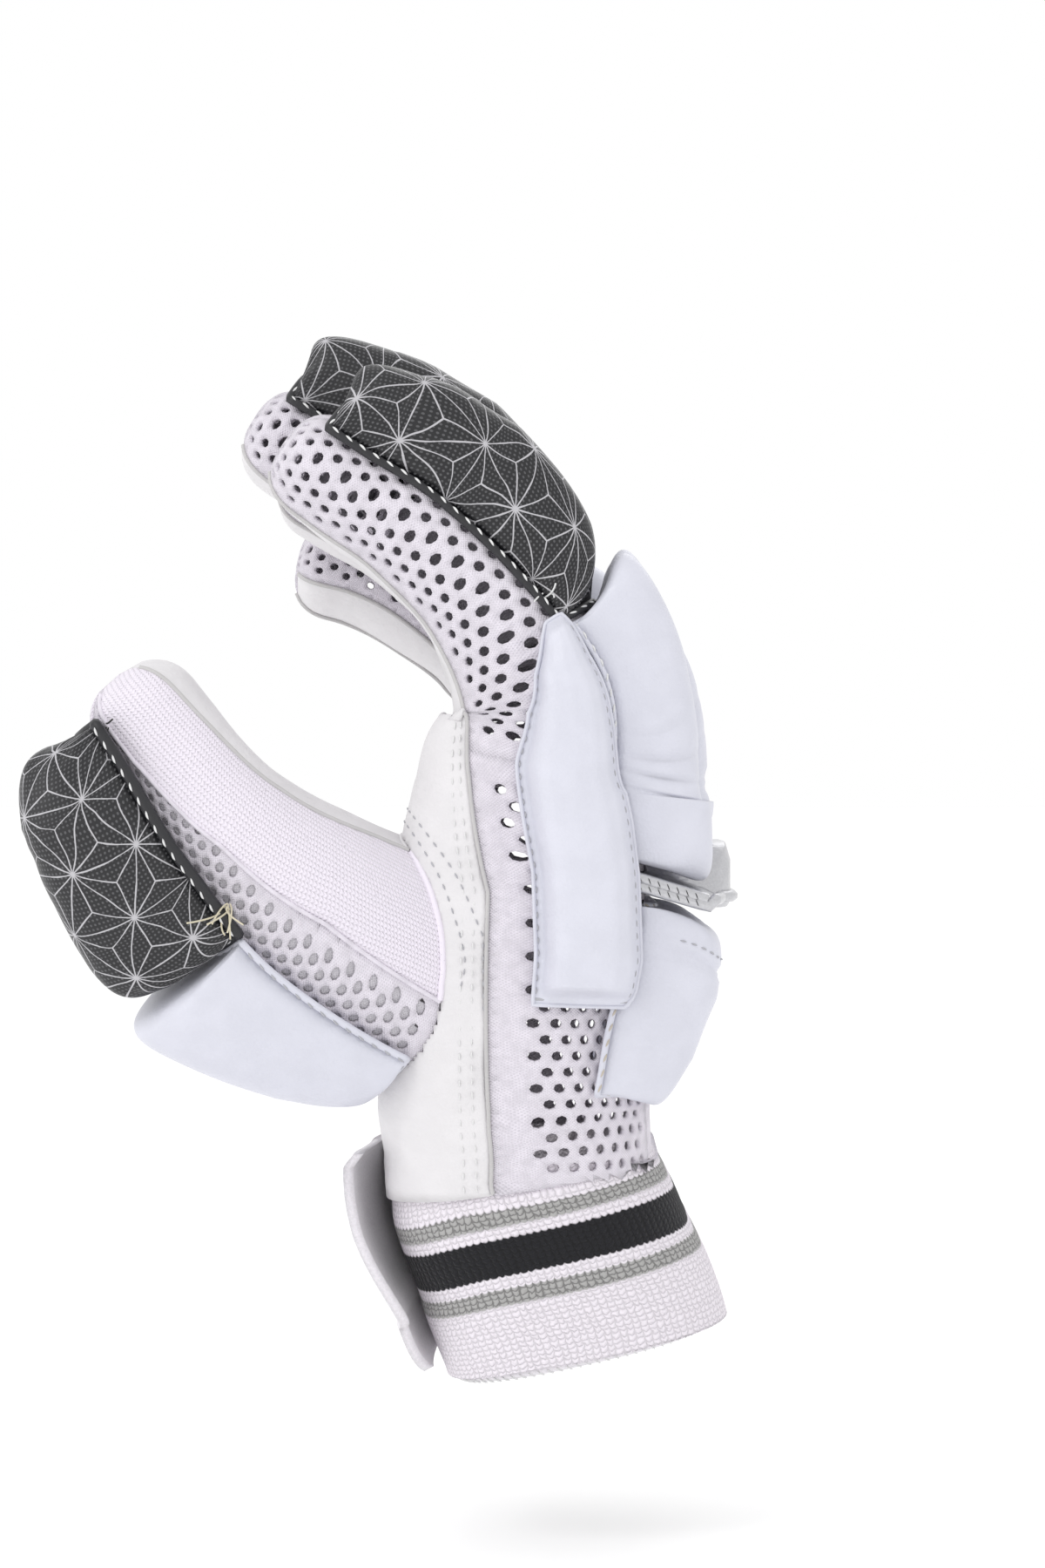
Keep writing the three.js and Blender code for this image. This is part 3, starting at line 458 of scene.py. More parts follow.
def holed_panel(name, path, low, high, start, end, wall, node, pitch,
                hole=0.285, offset=0.0, plain=0.0, begin=None):
    """A net of air mesh between two borders. Its pitch is in millimetres, its hole a share of the pitch."""
    sample = panel_net(path, low, high, np.linspace(start, end, 9)[1:-1], np.linspace(0, 1, 40))
    width = np.linalg.norm(np.diff(sample, axis=1), axis=2).sum(1).mean()
    n = max(2, int(round(width / pitch)))
    fine = stations_for(path, start, end, 0.5)
    length = lengths_along(panel_net(path, low, high, fine, [0.45])[:, 0])
    m = max(2, int(round(length[-1] / (pitch * 0.86))))
    ab, faces = holed_cells(m, n, hole, plain)
    at = np.interp(ab[:, 1] / m * length[-1], length, fine)
    if begin is not None:
        first = np.interp(ab[:, 0] / n, np.linspace(0, 1, len(begin)), begin)
        at = first + (at - start) * (end - first) / (end - start)
    net = panel_point(path, at, low, high, ab[:, 0] / n, offset)
    uv = np.stack([ab[:, 0] / n * width, ab[:, 1] / m * length[-1]], -1)
    obj = new_object(name, net, faces, uv, "mesh")
    finish_panel(obj, path, lerp(start, end, 0.5), wall, node)


# Tubes, stitches and thread ends

def tube(name, line, radius, look, closed=False, sides=8):
    line = np.asarray(line, float)
    curve = bpy.data.curves.new(name, "CURVE")
    curve.dimensions = "3D"
    curve.bevel_depth = radius * MM
    curve.bevel_resolution = max(1, sides // 4)
    curve.use_fill_caps = True
    spline = curve.splines.new("POLY")
    spline.points.add(len(line) - 1)
    for point, p in zip(spline.points, line):
        point.co = (*(p * MM), 1)
    spline.use_cyclic_u = closed
    temp = bpy.data.objects.new(name, curve)
    bpy.context.scene.collection.objects.link(temp)
    graph = bpy.context.evaluated_depsgraph_get()
    mesh = bpy.data.meshes.new_from_object(temp.evaluated_get(graph))
    bpy.data.objects.remove(temp)
    obj = bpy.data.objects.new(name, mesh)
    bpy.context.scene.collection.objects.link(obj)
    mesh.shade_smooth()
    mesh.materials.clear()
    mesh.materials.append(M[look])
    finish_piece(obj)


def resample(line, step):
    line = np.asarray(line, float)
    length = lengths_along(line)
    want = np.linspace(0, length[-1], max(2, int(length[-1] / step)) + 1)
    return np.stack([np.interp(want, length, line[:, k]) for k in range(3)], -1)


def stitches(name, line, normals, look, length=2.4, gap=1.5, radius=0.32, lift=0.0, slant=0.0):
    """A row of short threads along a line, each lying on the surface."""
    line, normals = np.asarray(line, float), np.asarray(normals, float)
    span = lengths_along(line)
    points, faces = [], []
    for k in range(int(span[-1] / (length + gap))):
        start = k * (length + gap) + gap / 2
        spots = (start, start + length / 2, start + length)
        first_end, _, last_end = (np.array([np.interp(s, span, line[:, c]) for c in range(3)]) for s in spots)
        up = np.array([np.interp(spots[1], span, normals[:, c]) for c in range(3)])
        up /= max(1e-6, np.linalg.norm(up))
        way = last_end - first_end
        way /= max(1e-6, np.linalg.norm(way))
        across = np.cross(way, up)
        first = len(points)
        for m, (t, swell) in enumerate(((0.0, 0.15), (0.25, 0.9), (0.5, 1.0), (0.75, 0.9), (1.0, 0.15))):
            p = lerp(first_end, last_end, t) + across * slant * (t - 0.5) * length
            p = p + up * (lift + radius * 0.55 * math.sin(math.pi * t))
            for a in range(6):
                turn = 2 * math.pi * a / 6
                points.append(p + (up * math.cos(turn) + across * math.sin(turn)) * radius * swell)
            if m:
                b = first + (m - 1) * 6
                for a in range(6):
                    c = (a + 1) % 6
                    faces.append((b + a, b + c, b + 6 + c, b + 6 + a))
        faces.append(tuple(first + a for a in range(5, -1, -1)))
        faces.append(tuple(first + 24 + a for a in range(6)))
    if points:
        finish_piece(new_object(name, points, faces, None, look))


# Materials

class Value:
    """A number, colour or normal in a material's graph, with the usual arithmetic."""

    def __init__(self, graph, socket):
        self.graph = graph
        self.socket = socket

    def __add__(self, other):
        return self.graph.math("ADD", self, other)

    def __sub__(self, other):
        return self.graph.math("SUBTRACT", self, other)

    def __rsub__(self, other):
        return self.graph.math("SUBTRACT", other, self)

    def __mul__(self, other):
        return self.graph.math("MULTIPLY", self, other)

    def __truediv__(self, other):
        return self.graph.math("DIVIDE", self, other)


class Nodes:
    """The graph of one material."""

    def __init__(self, name):
        self.mat = bpy.data.materials.new(name)
        self.mat.use_nodes = True
        self.tree = self.mat.node_tree
        self.bsdf = self.tree.nodes["Principled BSDF"]

    def put(self, socket, value):
        """Links a value of the graph to a socket, or sets the socket to a number or a colour."""
        if isinstance(value, Value):
            self.tree.links.new(value.socket, socket)
        else:
            socket.default_value = (*value, 1) if isinstance(value, tuple) else value

    def node(self, kind, inputs, output=0, **settings):
        made = self.tree.nodes.new(kind)
        for key, value in settings.items():
            setattr(made, key, value)
        for key, value in inputs.items():
            self.put(made.inputs[key], value)
        return Value(self, made.outputs[output])

    def math(self, operation, *values):
        return self.node("ShaderNodeMath", dict(enumerate(values)), operation=operation)

    def waves(self, value, period):
        """Rounded ridges, one to each period."""
        return self.math("ABSOLUTE", self.math("SINE", value * (math.pi / period)))

    def map_lengths(self):
        """Millimetres across and along the piece."""
        uv = self.node("ShaderNodeUVMap", {}, uv_map="map")
        return [self.node("ShaderNodeSeparateXYZ", {0: uv}, k) for k in range(2)]

    def place(self):
        """The place in the part, in millimetres."""
        here = self.node("ShaderNodeTexCoord", {}, "Object")
        return self.node("ShaderNodeVectorMath", {0: here, "Scale": 1 / MM}, operation="SCALE")

    def noise(self, vector, scale, detail=2.0, rough=0.5):
        inputs = dict(Vector=vector, Scale=scale, Detail=detail, Roughness=rough)
        return self.node("ShaderNodeTexNoise", inputs)

    def cells(self, vector, scale):
        return self.node("ShaderNodeTexVoronoi", dict(Vector=vector, Scale=scale))

    def ramp(self, value, low, high):
        inputs = {"Value": value, "From Min": low, "From Max": high}
        return self.node("ShaderNodeMapRange", inputs, interpolation_type="SMOOTHSTEP")

    def blend(self, share, first, second):
        return self.node("ShaderNodeMix", {0: share, 6: first, 7: second}, 2, data_type="RGBA")

    def bumps(self, *layers):
        """Bumps over one another, each a height from 0 to 1, its depth in millimetres and a strength."""
        normal = None
        for height, depth, strength in layers:
            inputs = dict(Strength=strength, Distance=depth * MM, Height=height)
            if normal is not None:
                inputs["Normal"] = normal
            normal = self.node("ShaderNodeBump", inputs)
        return normal

    def done(self, colour, rough, normal=None, sheen=0.0, coat=0.0, metal=0.0):
        inputs = {"Base Color": colour, "Roughness": rough, "Sheen Weight": sheen, "Metallic": metal,
                  "Coat Weight": coat}
        if normal is not None:
            inputs["Normal"] = normal
        for key, value in inputs.items():
            self.put(self.bsdf.inputs[key], value)
        return self.mat


def dim(colour, share):
    return tuple(c * share for c in colour)


def leather(name, colour, rough=0.42, grain=1.0, creases=0.12):
    n = Nodes(name)
    p = n.place()
    pores = n.cells(p, 1.1 * grain)
    fine = n.noise(p, 2.2 * grain, 3)
    folds = n.noise(p, 0.3, 2, 0.6)
    shade = n.blend(n.ramp(n.noise(p, 0.12, 3), 0.35, 0.7), dim(colour, 0.96), colour)
    normal = n.bumps((pores, 0.10, 0.55), (fine, 0.10, 0.5), (folds, 0.6, creases))
    return n.done(shade, fine * 0.18 + (rough - 0.08), normal, coat=0.06)


def black_print(name, star=17.5, pitch=1.15):
    """Black cloth with a grid of dots and fine lines: a triangle grid, each triangle split in three."""
    n = Nodes(name)
    u, v = n.map_lengths()
    p = n.place()
    sway_u = u + (n.noise(p, 0.055, 1) - 0.5) * 3.0
    sway_v = v + (n.noise(p, 0.05, 2) - 0.5) * 3.0
    high = star * math.sqrt(3) / 2
    parts = []
    for turn in (90, 210, 330):
        c, s = math.cos(math.radians(turn)) / high, math.sin(math.radians(turn)) / high
        parts.append(n.math("FRACT", sway_u * c + sway_v * s + 64.0))
    down = n.math("GREATER_THAN", parts[0] + parts[1] + parts[2], 1.5)
    shares = [part * (1.0 - down) + (1.0 - part) * down for part in parts]
    small = n.math("MINIMUM", n.math("MINIMUM", shares[0], shares[1]), shares[2])
    large = n.math("MAXIMUM", n.math("MAXIMUM", shares[0], shares[1]), shares[2])
    middle = 1.0 - small - large
    near = n.math("MINIMUM", small * high, (middle - small) * (high / math.sqrt(3)))
    wide = n.noise(p, 0.25, 2) * 0.26 + 0.03
    lines = n.ramp(near / wide, 1.25, 0.75)
    du, dv = (n.math("FRACT", x / pitch + 64.0) - 0.5 for x in (u, v))
    dots = n.ramp(n.math("SQRT", du * du + dv * dv), 0.30, 0.20)
    base = n.blend(dots * 0.8, (0.005, 0.005, 0.007), (0.09, 0.09, 0.096))
    colour = n.blend(lines * 0.8, base, (0.58, 0.57, 0.60))
    normal = n.bumps((dots, 0.08, 0.6), (lines, 0.12, 0.4), (n.noise(p, 0.22, 3), 0.9, 0.3))
    return n.done(colour, 0.42, normal, coat=0.05)


def mesh_cloth(name, colour):
    """Knitted mesh between the holes: small loops and a soft fuzz, with painted shade in the dips between the
    loops.
    """
    n = Nodes(name)
    u, v = n.map_lengths()
    p = n.place()
    loops = n.math("SINE", u * (2 * math.pi / 0.85)) * n.math("SINE", v * (2 * math.pi / 0.7))
    normal = n.bumps((loops, 0.10, 0.7), (n.noise(p, 3.0, 3), 0.14, 0.6))
    shade = n.blend(n.ramp(n.noise(p, 0.35, 3), 0.3, 0.7), dim(colour, 0.86), colour)
    # painted shade: the colour is darker where the loops dip, in the hollows of the knit
    shade = n.blend(n.ramp(loops, -0.9, 0.2), dim(colour, 0.8), shade)
    return n.done(shade, 0.9, normal, sheen=0.25)


def ribbed(name, colour, rib=1.35, stitch=0.9):
    """Fine ribs of a stretch knit running along the piece, with painted shade in the grooves between them."""
    n = Nodes(name)
    u, v = n.map_lengths()
    p = n.place()
    ribs = n.waves(u + n.noise(p, 0.3, 2) * 0.7, rib)
    loops = n.waves(v + ribs * 0.5, stitch)
    normal = n.bumps((ribs, 0.22, 0.6), (loops, 0.2, 0.8), (n.noise(p, 3.0, 2), 0.08, 0.5))
    # painted shade: the colour is darker in the grooves between the ribs
    shade = n.blend(n.ramp(ribs, 0.0, 0.45), dim(colour, 0.84), colour)
    shade = n.blend(n.ramp(n.noise(p, 1.4, 3), 0.62, 0.75), shade, dim(colour, 0.8))
    return n.done(shade, 0.92, normal, sheen=0.3)


def cuff_knit(name, bands):
    """Elastic knit with woven bands, given as (from, to, colour) in millimetres from the opening. The hollows
    of the knit carry painted shade.
    """
    n = Nodes(name)
    u, v = n.map_lengths()
    p = n.place()
    wobble = n.noise(p, 0.55, 2) * 1.5
    rib = n.waves(u + wobble, 1.7)
    knit = rib * n.waves(v + rib * 0.55 + wobble, 1.35)
    normal = n.bumps((knit, 0.42, 0.8), (n.noise(p, 2.6, 3), 0.16, 0.6))
    white = (0.80, 0.755, 0.81)
    # painted shade: the white knit is darker in the hollows between its loops
    shade = n.blend(n.ramp(knit, 0.0, 0.4), dim(white, 0.74), white)
    jag = v + rib * 0.45
    for low, high, colour in bands:
        inside = n.ramp(jag, low - 0.25, low + 0.25) * n.ramp(jag, high + 0.25, high - 0.25)
        # painted shade: each band is darker in the hollows of the knit
        shade = n.blend(inside, shade, n.blend(n.ramp(knit, 0.0, 0.5), dim(colour, 0.45), colour))
    return n.done(shade, 0.95, normal, sheen=0.06)


def fleece(name, colour):
    n = Nodes(name)
    p = n.place()
    hair = n.noise(p, 1.6, 6, 0.75)
    normal = n.bumps((hair, 0.3, 0.5), (n.cells(p, 0.8), 0.2, 0.4))
    shade = n.blend(n.ramp(hair, 0.35, 0.65), dim(colour, 0.86), colour)
    return n.done(shade, 0.97, normal, sheen=0.5)


def thread(name, colour):
    n = Nodes(name)
    twist = n.noise(n.place(), 4.0, 2)
    return n.done(n.blend(twist, dim(colour, 0.8), colour), 0.6, n.bumps((twist, 0.06, 0.5)))


def silver(name):
    n = Nodes(name)
    p = n.place()
    grain = n.noise(p, 1.8, 4)
    normal = n.bumps((n.cells(p, 1.0), 0.12, 0.6), (grain, 0.1, 0.5))
    return n.done(n.blend(grain, (0.44, 0.44, 0.46), (0.62, 0.62, 0.64)), 0.3, normal, metal=0.75)


GREY_BAND = (0.40, 0.395, 0.39)
CUFF_BANDS = [(18.6, 22.9, GREY_BAND), (26.0, 35.6, (0.008, 0.008, 0.011)), (38.6, 42.6, GREY_BAND)]
M = dict(
    white=leather("white leather", (0.635, 0.64, 0.715)),
    palm=leather("palm leather", (0.715, 0.70, 0.715), 0.6, 1.2, 0.5),
    edge=leather("raw edge", (0.52, 0.51, 0.51), 0.8, 1.6, 0.2),
    black=leather("black binding", (0.014, 0.014, 0.017), 0.45, 1.2, 0.3),
    print=black_print("black print"),
    mesh=mesh_cloth("air mesh", (0.76, 0.72, 0.79)),
    lining=mesh_cloth("inner face", (0.68, 0.66, 0.70)),
    knit=ribbed("ribbed knit", (0.80, 0.75, 0.83)),
    cuff=cuff_knit("cuff knit", CUFF_BANDS),
    fleece=fleece("loop face", (0.84, 0.81, 0.85)),
    silver=silver("silver leather"),
    white_thread=thread("white thread", (0.80, 0.80, 0.80)),
    grey_thread=thread("grey thread", (0.46, 0.46, 0.49)),
    beige_thread=thread("beige thread", (0.55, 0.50, 0.42)),
    black_thread=thread("black thread", (0.015, 0.015, 0.015)),
    cream_thread=thread("cream thread", (0.72, 0.66, 0.50)),
)


# Borders of the panels

def radial(column):
    return lambda at: table(RADIAL, at, 1 if column == "palm" else 2)


def minus(border):
    return lambda at: -border(at)


def mirrored(border):
    return lambda at: 360 - border(at)


def thumb_border(column):
    place = dict(palm=1, knit=2, back=3)[column]
    return lambda at: table(THUMB_EDGES, at, place)


def inside_of(path, low, high, offset):
    """A test that tells which points lie inside a path's outside, moved out by an offset."""
    sec = path(np.linspace(low, high, 90))

    def test(points):
        flat = points.reshape(-1, 3)
        away = flat[:, None, :] - sec["centre"][None]
        along = np.abs((away * sec["along"][None]).sum(-1))
        k = along.argmin(1)
        pick = np.arange(len(flat))
        a = away[pick, k]
        depth = np.abs((a * sec["back"][k]).sum(-1)) / (sec["deep"][k] + offset)
        width = np.maximum(0, np.abs((a * sec["side"][k]).sum(-1)) - sec["flat"][k])
        width = width / (sec["round"][k] + offset)
        good = (depth**CORNER + width**CORNER < 1) & (along[pick, k] < 3)
        return good.reshape(points.shape[:-1])

    return test


# Closed bodies from an outer and an inner net

def wall_object(name, outside, inside, look):
    count, cols = outside.shape[:2]
    points = np.concatenate([outside.reshape(-1, 3), inside.reshape(-1, 3)])
    shift = count * cols
    faces = []
    for a, b, c, d in grid_faces(count, cols):
        faces.append((a, b, c, d))
        faces.append((shift + a, shift + d, shift + c, shift + b))
    index = np.arange(shift).reshape(count, cols, 1)
    rim = border_of(index)[:, 0]
    for a, b in zip(rim, np.roll(rim, -1)):
        faces.append((a, b, shift + b, shift + a))
    uv = grid_map(outside).reshape(-1, 2)
    obj = new_object(name, points, faces, np.concatenate([uv, uv]), look)
    a, b, c, d = (points[column] for column in np.array(faces).T)
    if (a * (np.cross(b, c) + np.cross(c, d))).sum() < 0:
        obj.data.flip_normals()
    return obj


# Pads

def finger_lane(half):
    return lambda sec, at: tuple(np.full(at.shape, value) for value in (-half, half, True, True))


def hand_lane(lane):
    def at_section(sec, at):
        half = sec["flat"] + sec["round"]
        quarter, middle = half / 2, lane / 2 * half
        left_open, right_open = lane < -1, lane > 1
        left = middle - quarter / 2 + (0.3 if left_open else 0.45)
        right = middle + quarter / 2 - (0.3 if right_open else 0.45)
        return left, right, np.full(at.shape, left_open), np.full(at.shape, right_open)
    return at_section


def roll_lane(lane):
    hand, finger = hand_lane(lane), finger_lane(CAP_SIDE)

    def at_section(sec, at):
        a, b = hand(sec, at), finger(sec, at)
        return tuple(np.where(at < WEB, p, q) for p, q in zip(a, b))
    return at_section


def crease_depth(creases, share, turn):
    """Each crease has a place, a depth, a width and sometimes the side that it stays on."""
    squeeze = np.zeros(share.shape)
    for at, deep, spread, *side in creases:
        fold = deep * np.exp(-((share - at) / spread) ** 2)
        squeeze += fold * np.exp(-((turn - side[0]) / 0.9) ** 2) if side else fold
    return squeeze


def pad_nets(path, low, top, tall, seat, lane, gathers, creases=()):
    """Outer and inner net of a pad that stands on the back of a path, and the centres under the outer one."""
    t = np.linspace(0, 1, PAD_ROWS + 1)
    shares = 0.35 * t + 0.65 * (0.5 - 0.5 * np.cos(np.pi * t))
    share, turn = np.meshgrid(shares, np.pi * np.linspace(0, 1, PAD_COLS + 1), indexing="ij")
    at = lerp(low[0], low[1], share)
    sec = path(at)
    left, right, lo, ro = lane(sec, at)
    seat_depth = listed(seat, share) * sec["deep"]
    left_foot = np.where(lo, -width_at_depth(sec, seat_depth), left + 0.8)
    right_foot = np.where(ro, width_at_depth(sec, seat_depth), right - 0.8)
    width = lerp(left_foot, right_foot, (1 - np.cos(turn)) / 2)
    depth = back_depth(sec, width) + PAD_CLEARANCE
    spread = 1 + PAD_CLEARANCE / sec["round"]
    width = np.where(np.abs(width) > sec["flat"], width * spread, width)
    inside = sec["centre"] + sec["back"] * depth[..., None] + sec["side"] * width[..., None]

    rise = np.abs(np.sin(turn)) ** (2 / PAD_CORNER)
    rise[:, 0] = rise[:, -1] = 0
    ends = np.maximum(0, 1 - np.abs(2 * share - 1) ** 9) ** (1 / 5)
    at = lerp(lerp(low[0], low[1], share), lerp(top[0], top[1], share), rise**3 * ends)
    sec = path(at)
    left, right, lo, ro = lane(sec, at)
    squeeze = crease_depth(creases, share, turn) + gathers(share, turn)
    seat_depth = listed(seat, share) * sec["deep"]
    left_seat = np.where(lo, seat_depth, back_depth(sec, left) + PAD_CLEARANCE)
    right_seat = np.where(ro, seat_depth, back_depth(sec, right) + PAD_CLEARANCE)
    middle = (left + right) / 2
    half = ((right - left) / 2 - squeeze * np.minimum(1, rise * 1.4)) * lerp(0.965, 1, ends)
    width = middle - half * power(np.cos(turn), 2 / PAD_CORNER)
    base = lerp(left_seat, right_seat, (1 - np.cos(turn)) / 2)
    floor = np.maximum(base, back_depth(sec, width) + PAD_CLEARANCE + FLANGE)
    crown = lerp(floor, listed(tall, share) - squeeze, ends)
    depth = lerp(floor, crown, rise)
    depth[:, 0], depth[:, -1] = base[:, 0], base[:, -1]
    outside = sec["centre"] + sec["back"] * depth[..., None] + sec["side"] * width[..., None]
    return outside, inside, sec["centre"]


def foot_loop(net, centres):
    """The line round a pad's foot, and the way out from the hand at each of its points."""
    line = border_of(net)
    return line, unit(line - border_of(centres))


def wrinkles(seed, amount):
    """Gathers that run along a pad near its ends, folds across it, and faint dents elsewhere."""
    r = np.random.default_rng(seed)
    waves = r.uniform(5, 13, 5)
    shifts = r.uniform(0, 6.28, 5)

    def field(share, turn):
        near = np.exp(-(np.minimum(share, 1 - share) / 0.09) ** 2)
        ripple = sum(np.sin(w * turn + s) for w, s in zip(waves, shifts)) / 5
        dents = np.sin(11 * share + 2 * turn + shifts[0]) * np.sin(7 * share - 3 * turn + shifts[1])
        folds = sum(np.exp(-((share - 0.2 - 0.55 * (w - 5) / 8 - 0.05 * np.sin(turn + s)) / 0.012) ** 2)
                    * np.clip(np.cos(turn + s * 0.5), 0, 1) for w, s in zip(waves[:3], shifts[:3]))
        return amount * (near * (ripple + 0.3) + 0.16 * (dents + 0.4) + 0.5 * folds)
    return field


PAD_LOOKS = dict(print=("black_print", "black"), white=("white_leather", "white"))


def make_pad(name, path, look, thread_look, radius, spec, seed, amount):
    slot, binding = PAD_LOOKS[look]
    outside, inside, centres = pad_nets(path, gathers=wrinkles(seed, amount), **spec)
    finish_piece(wall_object(name, outside, inside, look), [name + "_pad"])
    line, out = foot_loop(outside, centres)
    raised = line + out * radius * 0.35
    raised = resample(np.concatenate([raised, raised[:1]]), 1.2)[:-1]
    tube(name + "_binding", raised, radius, binding, closed=True)
    loop, ways = (np.concatenate([points, points[:1]]) for points in (line, out))
    stitches(name + "_stitches", loop + ways * radius * 1.28, ways, thread_look, 2.2, 1.7, 0.30, slant=0.25)
    return outside, centres


def build_finger(f, order):
    name, path = f["name"], PATHS[f["name"]]
    first, last = order == 0, order == 3
    palm_high = radial("palm") if first else PALM_EDGE
    palm_low = minus(radial("palm")) if last else -PALM_EDGE
    sleeve_low = radial("back") if first else PALM_EDGE
    sleeve_high = mirrored(radial("back")) if last else 360 - PALM_EDGE
    cloth_panel(name + "_palm", path, palm_low, palm_high, WEB + 0.01, TIP, WALL, "palm",
                name + "_palm_strip", step=1.6, cols=26, ripple=0.35)
    holed_panel(name + "_mesh", path, sleeve_low, sleeve_high, WEB + 0.01, TIP, WALL, name + "_sleeve", 5.0)
    for side, border in (("a", palm_high), ("b", palm_low)):
        line = edge_line(path, np.linspace(WEB + 0.05, TIP - 0.08, 70), border, 0.15)
        tube(f"{name}_rim_{side}", line, RIM, "edge")
    build_finger_pads(f, order)


def build_finger_pads(f, order):
    name, path = f["name"], PATHS[f["name"]]
    half = f["rows"][3]["half"] + 0.2
    cap = dict(low=(7.52, f["cap"]), top=(7.92, f["cap"] + 0.24), tall=CAP_TALL, seat=(0.62,),
               lane=finger_lane(half), creases=[(0.42, 0.8, 0.07)])
    make_pad(name + "_cap", path, "print", "white_thread", 1.15, cap, 10 + order, 0.75)
    roll = dict(ROLLS[name], seat=(0.78, 0.74), lane=roll_lane(f["lane"]), creases=ROLL_CREASES)
    make_pad(name + "_roll", path, "white", "white_thread", 0.8, roll, 20 + order, 0.95)
    back = dict(BACK_PAD, lane=hand_lane(f["lane"]), creases=[(0.8, 0.9, 0.02), (0.77, 0.5, 0.012)])
    look = ("white", "beige_thread")
    outside, centres = make_pad(name + "_back", hand_path, *look, 0.85, back, 30 + order, 0.7)
    seam = outside[BACK_SEAM_ROW, 5:40]
    out = unit(seam - centres[BACK_SEAM_ROW, 5:40])
    stitches(name + "_back_seam", seam, out, "grey_thread", 1.7, 1.2, 0.24, 0.1)


def thumb_begin(low, high, shares):
    """The station at which each column of a thumb panel leaves the hand."""
    fine = np.linspace(0.5, 4.0, 260)
    hidden = inside_of(hand_path, 2, 7, 0.3)(panel_net(thumb_path, low, high, fine, shares))
    begin = np.array([fine[np.where(column)[0].max()] if column.any() else 0.5 for column in hidden.T])
    return np.convolve(np.pad(begin, 2, mode="edge"), np.ones(5) / 5, "valid")


def thumb_panel(name, low, high, wall, look, node, cols, count=90):
    shares = np.linspace(0, 1, cols + 1)
    begin = thumb_begin(low, high, shares)
    at = begin[None, :] + (THUMB_TIP - begin[None, :]) * np.linspace(0, 1, count + 1)[:, None]
    net = panel_point(thumb_path, at, low, high, np.ones(count + 1)[:, None] * shares[None])
    uv = grid_map(net)
    if look == "palm":
        net = net + ripple_field(net, 0.4)
    obj = net_object(name, net, uv, grid_faces(*net.shape[:2]), look)
    finish_panel(obj, thumb_path, 2.8, wall, node)
    tube(name + "_seam", net[0], 0.8, look)


def build_thumb():
    palm, knit, back = (thumb_border(column) for column in ("palm", "knit", "back"))
    thumb_panel("thumb_leather", -55.0, palm, WALL, "palm", "thumb_palm_leather", 34)
    thumb_panel("thumb_knit", palm, knit, KNIT_WALL, "knit", "thumb_knit_panel", 44)
    thumb_panel("thumb_far", back, 305.0, KNIT_WALL, "knit", "thumb_far_panel", 60)
    # The mesh runs on below the knit panel, so its lower border is a straight one
    holed_panel("thumb_mesh", thumb_path, 90.0, back, 0.9, THUMB_TIP, 0.8, "thumb_mesh_panel", 4.1,
                hole=0.33, offset=-0.35, begin=thumb_begin(90.0, back, np.linspace(0, 1, 24)))
    inside_hand = inside_of(hand_path, 2, 7, 0.3)
    at = stations_for(thumb_path, 0.9, THUMB_TIP - 0.1, 2.0)
    net = panel_net(thumb_path, knit, back, at, np.linspace(0, 1, 14), -1.3)
    hidden = inside_hand(net)
    faces = grid_faces(*net.shape[:2], keep=lambda i, j: not (hidden[i, j] or hidden[i + 1, j + 1]))
    finish_piece(net_object("thumb_mesh_backing", net, grid_map(net), faces, "lining"))
    for column, look in (("palm", "edge"), ("knit", "mesh")):
        line = edge_line(thumb_path, np.linspace(0.9, THUMB_TIP - 0.1, 90), thumb_border(column), 0.1)
        tube(f"thumb_rim_{column}", line[~inside_hand(line)], RIM, look)
    lane = finger_lane(THUMB_PAD_SIDE)
    cap = dict(THUMB_CAP, lane=lane, creases=[(0.5, 0.5, 0.06)])
    make_pad("thumb_cap", thumb_path, "print", "white_thread", 1.5, cap, 41, 1.0)
    make_pad("thumb_lower", thumb_path, "white", "grey_thread", 0.95, dict(THUMB_PAD, lane=lane), 42, 0.6)


def build_hand():
    thumb_core = inside_of(thumb_path, 0.3, 2.6, -0.4)
    cloth_panel("palm", hand_path, minus(radial("palm")), radial("palm"), HEM, WEB - 0.01, WALL, "palm",
                "palm_leather", step=1.1, cols=130, keep=lambda p: ~thumb_core(p), ripple=0.5)
    cloth_panel("back", hand_path, radial("back"), mirrored(radial("back")), HEM, WEB - 0.01, 1.8, "mesh",
                "back_cloth", step=2.2, cols=44)
    for name, path, low, high, node in (
            ("gusset_front", PATHS["index"], radial("palm"), radial("back"), "radial_mesh"),
            ("gusset_far", PATHS["little"], *(mirrored(radial(c)) for c in ("back", "palm")), "ulnar_mesh")):
        holed_panel(name, path, low, high, HEM, 6.2, WALL, node, NET_PITCH, plain=PLAIN_SHARE)
        holed_panel(name + "_finger", path, low, high, 6.2, TIP, WALL, None, NET_PITCH)
    at = np.linspace(HEM + 0.02, WEB, 80)
    for name, path, sign in (("front_palm", PATHS["index"], 1), ("far_palm", PATHS["little"], -1)):
        edge = radial("palm")(at) * sign
        line = edge_line(path, at, lambda _: edge, 0.15)
        tube(f"{name}_rim", line, RIM, "edge")
        out = line - path(at)["centre"]
        for k, shift in enumerate((2.6, 5.0)):
            seam = edge_line(path, at, lambda _: edge - sign * shift * 2.2, 0.05)
            stitches(f"{name}_stitches_{k}", seam, out, "white_thread", 1.9, 1.5, 0.24)


